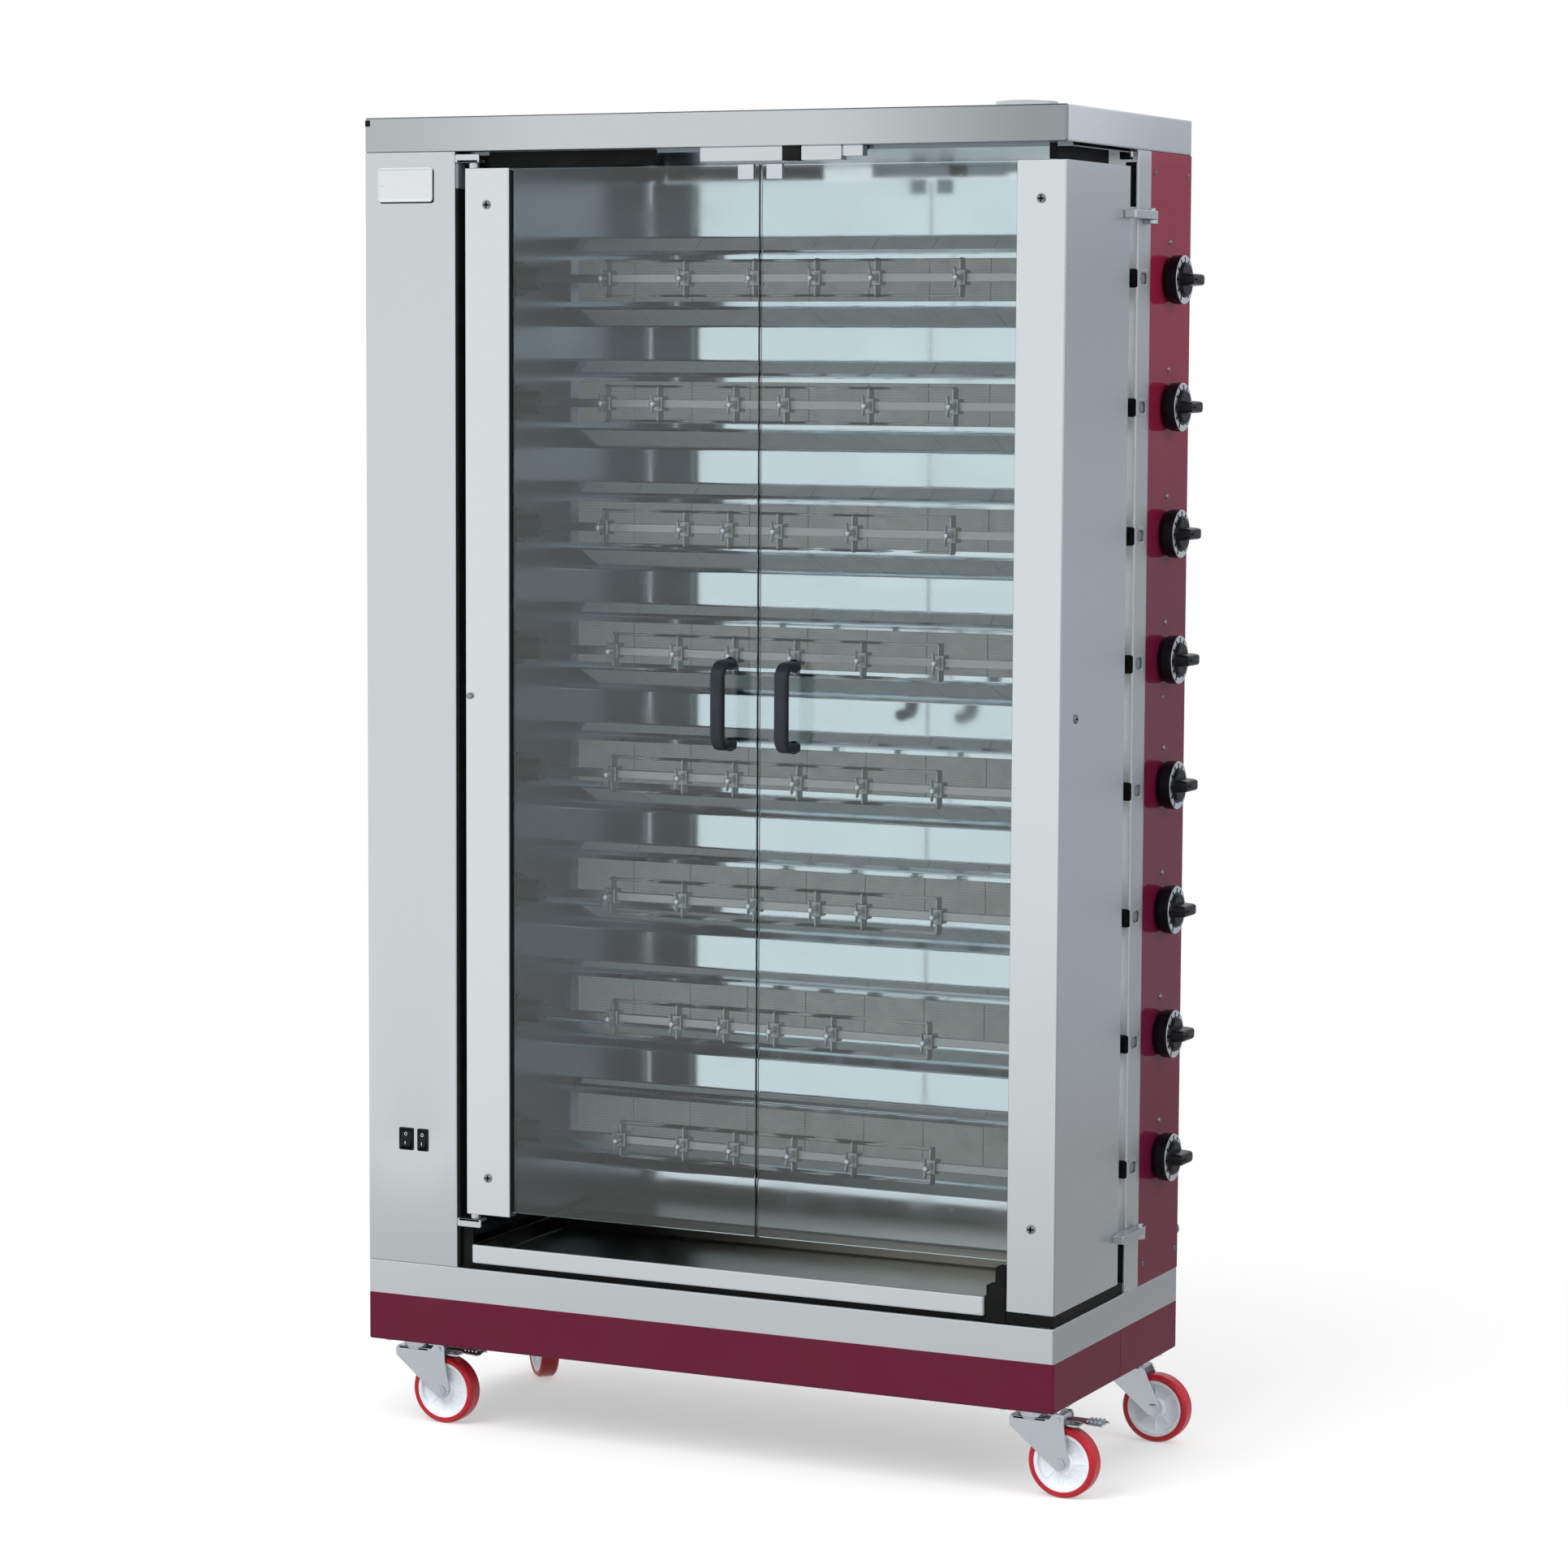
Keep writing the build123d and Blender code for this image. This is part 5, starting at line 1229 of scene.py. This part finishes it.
def makeSpits():
    s = spit
    y, half = s["y"], s["rod"] / 2
    rod = slab((s["rodStart"], s["rodEnd"]), (y - half, y + half), (-half, half), 0.7, axis="x")
    journal = lathe("x", (y, 0), [(492, 12), (497.7, 12), (497.7, 8), (501.3, 8), (501.3, 12), (507, 12), (507, 10),
                                  (518, 10)], [0.1, 0.9, 0.3, 0.3, 0.9, 0.9, 0.3, 1.6], 2, 32)
    hub = slab((-9, 9), (y - 11, y + 11), (-11, 11), 1.2, axis="x", corner=2.5)
    blade = slab((-1.5, 1.5), (y - 9, y + 9), (-28, 28), 0.7, axis="x", corner=6.0)
    tip = roundRun([(0, 1.8), (s["prong"] - 14, 1.8), (s["prong"], 0.25)], 12.0, 2)
    prong = turned("x", (0, 0), np.vstack([tip, [(s["prong"], 0.05)]]), 8)
    screw = lathe("y", (0, 0), [(y - 6.1, 3.0), (y - 18, 3.0), (y - 19, 5.2), (y - 27, 4.4), (y - 28, 2.4)],
                  [0.1, 0.4, 0.6, 1.5, 0.5], 2, 14)
    # A wing: its height grows along the screw and then rounds off, as an ear
    u = np.linspace(0, 1, 9)[:, None]
    v = np.linspace(0, 2 * math.pi, 10, endpoint=False)[None]
    breadth = 4.0 + 2.6 * np.sin(u * math.pi) ** 0.7 * u
    across = y - 23.5 - 1.5 * u + breadth * np.sin(v) * (1 - 0.55 * u ** 8)
    wing = surface(lift("z", 1.6 * (1 - 0.3 * u) * np.cos(v), across, 4 + 11 * u + 0 * v))
    screwShapes = (screw, wing, mirrored(wing, 2))
    corners = [(0, y + a * s["spread"], b * s["rise"]) for a in (-1, 1) for b in (-1, 1)]
    for number, (level, places) in enumerate(zip(levels, s["forks"]), 1):
        xs = s["rodStart"] + np.array(places, float)
        at = np.stack([xs, 0 * xs, 0 * xs + level], 1)
        prongs = [copied(copied(prong, corners), at[:-1]), copied(copied(mirrored(prong, 0), corners), at[1:])]
        body = f"spit_assembly_{number}"
        addPiece(f"spitRod{number}", body, "spitSteel", [copied(x, (0, 0, level)) for x in (rod, journal)],
                 [f"spit_{number}"])
        addPiece(f"spitForks{number}", body, "spitSteel", [copied(hub, at), copied(blade, at), *prongs])
        addPiece(f"wingScrews{number}", body, "zinc", [copied(x, at) for x in screwShapes])


hub = {"flange": 25.0, "socket": 17.0, "start": -384.0, "end": -347.0, "shaft": -500.0, "boltCircle": 21.0,
       "teeth": 16}


def makeDriveHubs():
    s = hub
    y, start = spit["y"], s["start"]
    body = lathe("x", (y, 0), [(start, s["flange"]), (start + 3, s["flange"]), (start + 3, s["socket"]),
                               (s["end"], s["socket"])], [0.3, 0.7, 0.8, 1.4], 3, 40)
    shaft = lathe("x", (y, 0), [(s["shaft"], 8), (start, 8)], [0.8, 0.1], 2, 28)
    tooth = np.arange(s["teeth"])[:, None]
    shares, radii = np.array([0, 0.28, 0.52, 0.76]), np.array([29.0, 29.0, 36.0, 36.0])
    angle = 2 * math.pi / s["teeth"] * (tooth + shares)
    outline = np.stack([y + radii * np.cos(angle), radii * np.sin(angle)], -1).reshape(-1, 2)
    sprocket = bar("x", outline, -470.0, -462.0, 0.5, 2)
    bolts = [lathe("x", (y + s["boltCircle"] * math.cos(a), s["boltCircle"] * math.sin(a)),
                   [(-381.2, 2.6), (-378.6, 2.6)], [0.1, 0.6], 2, 14) for a in np.radians([45, 135, 225, 315])]
    for number, level in enumerate(levels, 1):
        addPiece(f"driveSocket{number}", f"spit_assembly_{number}", "socketSteel",
                 [copied(x, (0, 0, level)) for x in (body, shaft, sprocket, *bolts)], [f"drive_hub_{number}"])


# Small fixed fittings

catch = {"y": (-236.5, -217.7), "z": (1846.0, 1866.0), "left": (-6.0, 121.0), "black": (121.6, 149.0),
         "right": (149.6, 211.0), "tail": (211.0, 242.0)}
hinges = {"x": (-396, -357), "rightTops": (1782.0, 341.0), "pin": (554.2, 59.0),
          "leftPlates": ((1850.0, 1854.0, 1862.0), (321.0, 317.0, 309.0))}   # near face, far face, end of the lip
castors = {     # place of the kingpin, and how far the fork is swung
    "front_left": (-493.0, -181.0, 0.0),
    "front_right": (493.0, -181.0, 0.0),
    "rear_left": (-493.0, 181.0, -48.0),
    "rear_right": (493.0, 181.0, 0.0),
}


def makeFittings():
    plates = []
    for x, y, _ in castors.values():
        plates += [slab((x - 45, x + 45), (y - 35, y + 35), (124, 128), 0.6, corner=6.0),
                   lathe("z", (x, y), [(112, 22.5), (118, 24), (124, 24)], [1.2, 1.5, 0.8], 3, 40),
                   turned("z", (x, y), [(106.0, 0.05), (106.0, 6.0), (112.5, 6.0), (112.5, 0.05)], 24),
                   hexHead("z", (x, y), 103.7, 107.2, 9.6)]
        plates += [hexHead("z", (x + a * 36, y + b * 27), 120.4, 124.1, 5.6) for a in (-1, 1) for b in (-1, 1)]
    addPiece("castorPlates", "cabinet", "zinc", plates, ["fixings"])

    brackets = []
    for near, far, lip in hinges["leftPlates"]:
        brackets += [slab(hinges["x"], (-238.5, -218.5), sorted((near, far)), 0.6, corner=3.0),
                     slab(hinges["x"], (-238.5, -235.5), sorted((near, lip)), 0.6, axis="y", corner=2.0)]
    addPiece("leftHingeBrackets", "cabinet", "steelLevel", brackets)

    lugs = []
    for top in hinges["rightTops"]:
        foot = top - 18.3
        outline = roundLoop([(545, 50.5), (562.7, 50.5), (562.7, 67.5), (545, 67.5)], [1.4, 8.4, 8.4, 1.4], 6)
        lugs += [bar("z", outline, foot, top - 12.3, 0.9),
                 lathe("z", hinges["pin"], [(foot, 5), (top + 4, 5)], [0.1, 1.4])]
    addPiece("rightHingeLugs", "cabinet", "zinc", lugs)

    s = catch
    housings = [slab(s[key], s["y"], s["z"], 1.0, axis="y", corner=1.6) for key in ("left", "right")]
    housings.append(slab(s["tail"], (s["y"][0] + 3, s["y"][1]), (s["z"][0] + 5, s["z"][1]), 0.8, axis="y"))
    addPiece("catchHousings", "cabinet", "steelLevel", housings)
    magnet = slab(s["black"], (s["y"][0] - 1, s["y"][1]), s["z"], 1.0, axis="y")
    addPiece("catchMagnet", "cabinet", "blackRubber", [magnet])

    studs = [smoothHead("x", (knob["y"], level + 53), 545.0, 4.2, 2.6, 1) for level in levels]
    studs += [smoothHead("x", (149.8, 1094.0), 545.0, 3.0, 1.8, 1)]
    addPiece("tapPanelStuds", "cabinet", "screwSteel", studs)
    addScrews("panelScrews", "cabinet", "x", [(y, z) for y in (96.0, 226.0) for z in (1836.0, 279.0)], 545.0,
              (3.6, 1.8), 1)


# Black strips in the gaps, partly seals and partly dark sheets that stand for the shade in the gaps (painted shade),
# as ranges of X, Y and Z, a rounding and the axis they are drawn along
sealsAndShadowGapRows = [
    *(((-396, -391.5), (-238, -216.5), z, 0.8, "z") for z in ((252, 308), (322, 1813), (1855, 1865.5))),
    ((-352, -85), (-217.4, -215.3), (1843.5, 1865.6), 0.5, "x"),
    ((511, 521), (-217.4, -215.3), (1843.5, 1865.6), 0.5, "x"),
    ((-391, -352.5), (-213.8, -211.5), (1843.5, 1860.2), 0.5, "x"),
    ((518.5, 521.5), (-215, -25), (1843.5, 1865.6), 0.6, "y"),
    ((472, 541), (-236, -233), (248.2, 264.0), 0.6, "x"),
    ((538, 541), (-233, 28), (248.2, 264.0), 0.6, "y"),
    ((-372, 441), (-232, -228), (248.2, 255.3), 0.6, "x"),
    ((-391, -373), (-232, -228), (248.2, 308), 0.6, "z"),
    ((441.5, 471.5), (-237, -214), (248.3, 300), 1.2, "z"),
    ((454.5, 471.0), (-236, -215), (298, 326), 1.2, "z"),
    ((512, 543), (33.2, 36.2), (262, 1856), 0.6, "z"),
    ((528, 543.6), (-2, 11), (1851.5, 1865.6), 0.8, "x"),
    ((526, 541), (29.9, 30.9), (262, 322), 0.3, "y"),
]


def makeSeals():
    # Black rims just behind the ports, as painted shade in them
    section = roundLoop([(0, 29.4), (0, 31), (8.5, 31), (8.5, 29.4)], [0.6, 0.2, 0.2, 0.6], 2)
    bush = framed(rectangle((518.5, 544.7), (-12.6, 12.6)), 2.5, section, axis="y", closed=True)
    black = [*(slab(*row) for row in sealsAndShadowGapRows), copied(bush, levelPlaces)]
    addPiece("sealsAndPaintedShadowGaps", "cabinet", "blackRubber", black)
    # Grey sheets behind the post's slots stand for the shade in them (painted shade); one more stands in the
    # column's gap near its top
    backs = [slab((538, 541.5), (37.5, 70.5), (level - 11, level + 11), 0.6, axis="x") for level in levels]
    backs.append(slab((-396, -391.5), (-238, -216.5), (1813.5, 1849.3), 0.8))
    addPiece("slotShadeBacks", "cabinet", "motorGrey", backs)
    roller = slab((543.6, 544.4), (1, 8), (1855, 1862.4), 0.25, axis="x", corner=0.8)
    addPiece("sideCatchPad", "cabinet", "plateWhite", [roller])


# Castors

wheel = {"radius": 50.0, "width": 28.0, "treadFoot": 41.6, "axleZ": 50.0, "lead": 46.0, "ribs": 45}


def makeCastors():
    for name, (x, y, swing) in castors.items():
        makeCastor(name, x, y, swing, name.startswith("front"))


def makeCastor(name, x, y, swing, braked):
    s = wheel
    ax, z = x + s["lead"], s["axleZ"]
    axle = (ax, z)
    title = "".join(word.title() for word in name.split("_"))
    corners = [(x - 30, 111.7), (x + 30, 111.7), (ax + 14, z), (ax, z - 14), (x - 30, 97.7)]
    radii = [4, 6, 12, 12, 5]
    if braked:
        corners[2:2] = [(x + 36, 120.2), (x + 52, 120.2), (x + 52, 101.7)]
        radii = [4, 1.5, 3, 5, 6, 13.5, 12, 5]
    leg = roundLoop(corners, radii, 5)
    fork = [bar("y", leg, y - 19.5, y - 16.5, 0.8), bar("y", leg, y + 16.5, y + 19.5, 0.8),
            slab((x - 30, x + 30), (y - 19.5, y + 19.5), (107.5, 111.7), 0.9, corner=6.0),
            hoop("z", (x, y), [(109.0, 9), (109.0, 21.5), (111.9, 21.5), (111.9, 9)], 0.8, 3, 40),
            hexHead("y", axle, y - 23.5, y - 19.5, 8.6), hexHead("y", axle, y + 19.5, y + 23.5, 8.6),
            turned("y", axle, [(y - 25, 0.05), (y - 25, 4.6), (y + 25, 4.6), (y + 25, 0.05)], 20)]
    if braked:
        fork.append(lathe("y", (x + pedal["pivot"][0], pedal["pivot"][1]), [(y - 21.5, 3.0), (y + 21.5, 3.0)],
                          [0.8, 0.8], 2, 20))

    top, foot, side = s["radius"], s["treadFoot"], s["width"] / 2
    tread = roundRun([(-side + 0.5, foot), (-side, top - 3.5), (-side + 3.5, top), (side - 3.5, top),
                      (side, top - 3.5), (side - 0.5, foot)], [0.8, 3.2, 3.2, 0.8], 4)
    tread = np.vstack([tread, [(side - 3, foot - 0.6), (-side + 3, foot - 0.6)]]) + [y, 0]
    half = side - 1
    profile = [(half - 4, 7.6), (half, 8.4), (half, 14.6), (half - 6, 16.5), (half - 7.2, 24), (half - 6, 34.2),
               (half - 0.8, 36.6), (half, foot)]
    profile = np.array(profile + [(-a, r) for a, r in profile[::-1]])
    wheelCore = [hoop("y", axle, profile + [y, 0], 0.6, 2, 64)]
    for way in (-1, 1):
        faces = sorted((y + way * (half - 8), y + way * (half - 5.6)))
        rib = slab((14.5, 36.0), faces, (-1.2, 1.2), 0.4, axis="y")
        wheelCore += [copied(spun(rib, "y", (0, 0), turn), (ax, 0, z)) for turn in range(0, 360, s["ribs"])]
    bush = hoop("y", axle, [(y - 14.4, 5.1), (y - 14.4, 7.8), (y + 14.4, 7.8), (y + 14.4, 5.1)], 0.5, 2, 28)

    for part, kind, material, shapes, node, slot in (
            ("Fork", "swivel", "zinc", fork, "fork", "zinc"),
            ("Tread", "wheel", "treadRed", [turned("y", axle, tread, 72, True)], "wheel", "red_polyurethane"),
            ("Hub", "wheel", "hubNylon", wheelCore, None, None),
            ("Bush", "wheel", "zinc", [bush], None, "zinc")):
        swung = [spun(shape, "z", (x, y), swing) for shape in shapes]
        addPiece(f"castor{part}{title}", f"{name}_castor_{kind}", material, swung,
                 [f"{name}_castor_{node}"] if node else ())
    if braked:
        makePedal(name, title, x, y)


# The pivot's X from the kingpin and its height, the tip's X, and where the tread plate widens and rounds off
pedal = {"pivot": (44.0, 112.2), "tip": 109.0, "widens": 0.45, "ends": 0.93, "ridges": 4}


def makePedal(name, title, x, y):
    s = pedal
    px, pz = x + s["pivot"][0], s["pivot"][1]
    barrel = hoop("y", (px, pz), [(y - 15, 3.1), (y - 15, 7), (y + 15, 7), (y + 15, 3.1)], 0.8, 3, 32)
    # The tread plate: a bent strip, wider at the tip and dished across
    u = np.linspace(0, 1, 22)[:, None]
    v = np.linspace(-1, 1, 11)[None]
    along = px + 4 + (x + s["tip"] - px - 4) * u
    wider = np.clip((u - s["widens"]) * 5, 0, 1)
    halfWidth = 10 + 6 * wider ** 2 * (3 - 2 * wider)
    halfWidth = halfWidth * np.sqrt(np.clip(1 - np.clip((u - s["ends"]) / 0.09, 0, 1) ** 2, 0.2, 1))
    height = pz + 1.6 - 2.4 * u ** 2 - 3.0 * np.abs(v) ** 4
    plate = surface(lift("z", along, y + halfWidth * v, height), across=False)
    ridges = [slab((x + 82 + 6 * k, x + 84.4 + 6 * k), (y - 11, y + 11), (pz - 2, pz + 2.0), 0.6, axis="x")
              for k in range(s["ridges"])]
    shoe = slab((x + 46, x + 70), (y - 12, y + 12), (102, 105), 0.8, corner=2.0)
    stem = slab((x + 46, x + 49), (y - 12, y + 12), (102, 112), 0.6)
    addPiece(f"brakePlate{title}", f"{name}_brake_pedal", "zinc", [plate], [f"{name}_brake_pedal"], wall=2.2,
             inside=(x + 80, y, -500), bevel=0.4)
    addPiece(f"brakeShoe{title}", f"{name}_brake_pedal", "zinc", [barrel, shoe, stem, *ridges])


# Gas rail

gas = {"x": 528.5, "y": 182.0, "radius": 10.65, "bore": 8.0, "low": 300.0, "high": 1718.0, "threadStart": 246.0,
       "end": 265.0, "thread": (10.48, 0.75, 1.8)}     # thread: radius over the crests, depth, pitch


def makeGasRail():
    s = gas
    start, end = s["threadStart"], s["end"]
    crest, depth, pitch = s["thread"]
    path = roundRun([(s["x"], s["y"], s["high"]), (s["x"], s["y"], s["low"]), (s["x"], start, s["low"])], 20.0, 10)
    pipe = carried(path, circle((0, 0), s["radius"], 24), (1, 0, 0))
    # Thread: the radius swings with place / pitch - turn, so its crests run round as a screw
    place = np.linspace(start, end, 90)[:, None]
    turn = np.linspace(0, 2 * math.pi, 32, endpoint=False)[None]
    wave = np.abs(((place / pitch - turn / (2 * math.pi)) % 1.0) * 2 - 1)
    radius = crest - depth * wave - 0.5 * np.clip((place - end + 1) / 1, 0, 1)
    outer = lift("y", s["x"] + radius * np.cos(turn), s["low"] + radius * np.sin(turn), place)
    bore = lift("y", s["x"] + s["bore"] * np.cos(turn), s["low"] + s["bore"] * np.sin(turn),
                np.array([end, start])[:, None])
    thread = surface(np.concatenate([outer, bore]), along=True)
    addPiece("gasPipe", "cabinet", "pipeSteel", [pipe, thread], ["gas_rail"])
    y = knob["y"]
    tap = lathe("x", (y, 0), [(504, 4), (514, 4), (516, 8), (516, 11), (541, 11), (541, 7.5), (543.5, 7.5)],
                [0.3, 0.5, 0.5, 0.5, 1.0, 0.5, 0.3], 2)
    saddle = slab((520.5, 536.5), (y, 176.0), (-8, 8), 0.8, axis="y", corner=2.0)
    nut = hexHead("x", (y, 0), 510.0, 516.0, 9.5)
    taps = [copied(shape, levelPlaces) for shape in (tap, saddle, nut)]
    addPiece("gasTaps", "cabinet", "brass", taps)


# Solids of the part that keep their own shape and only get a finish

plainNodes = {"chamber_liner": "linerSteel", "burners": "alloySteel", "bearing_rail": "zinc",
              "drive_unit": "motorGrey"}


def dressPlainNodes():
    for name, finishName in plainNodes.items():
        mesh = frame["nodes"][name].data
        mesh.materials.clear()
        mesh.materials.append(finishes[finishName])


for stage in (makePlinth, makeBand, makeCanopy, makeFlue, makeColumn, makeSwitches, makeTapPanel, makePost,
              makeBackPanel, makeReflector, makePlaques, makeTray, makeLeftDoor, makeRightDoor, makeHandles,
              makeKnobs, makeSpits, makeDriveHubs, makeFittings, makeSeals, makeCastors, makeGasRail,
              dressPlainNodes):
    stage()
    print(stage.__name__, "done")
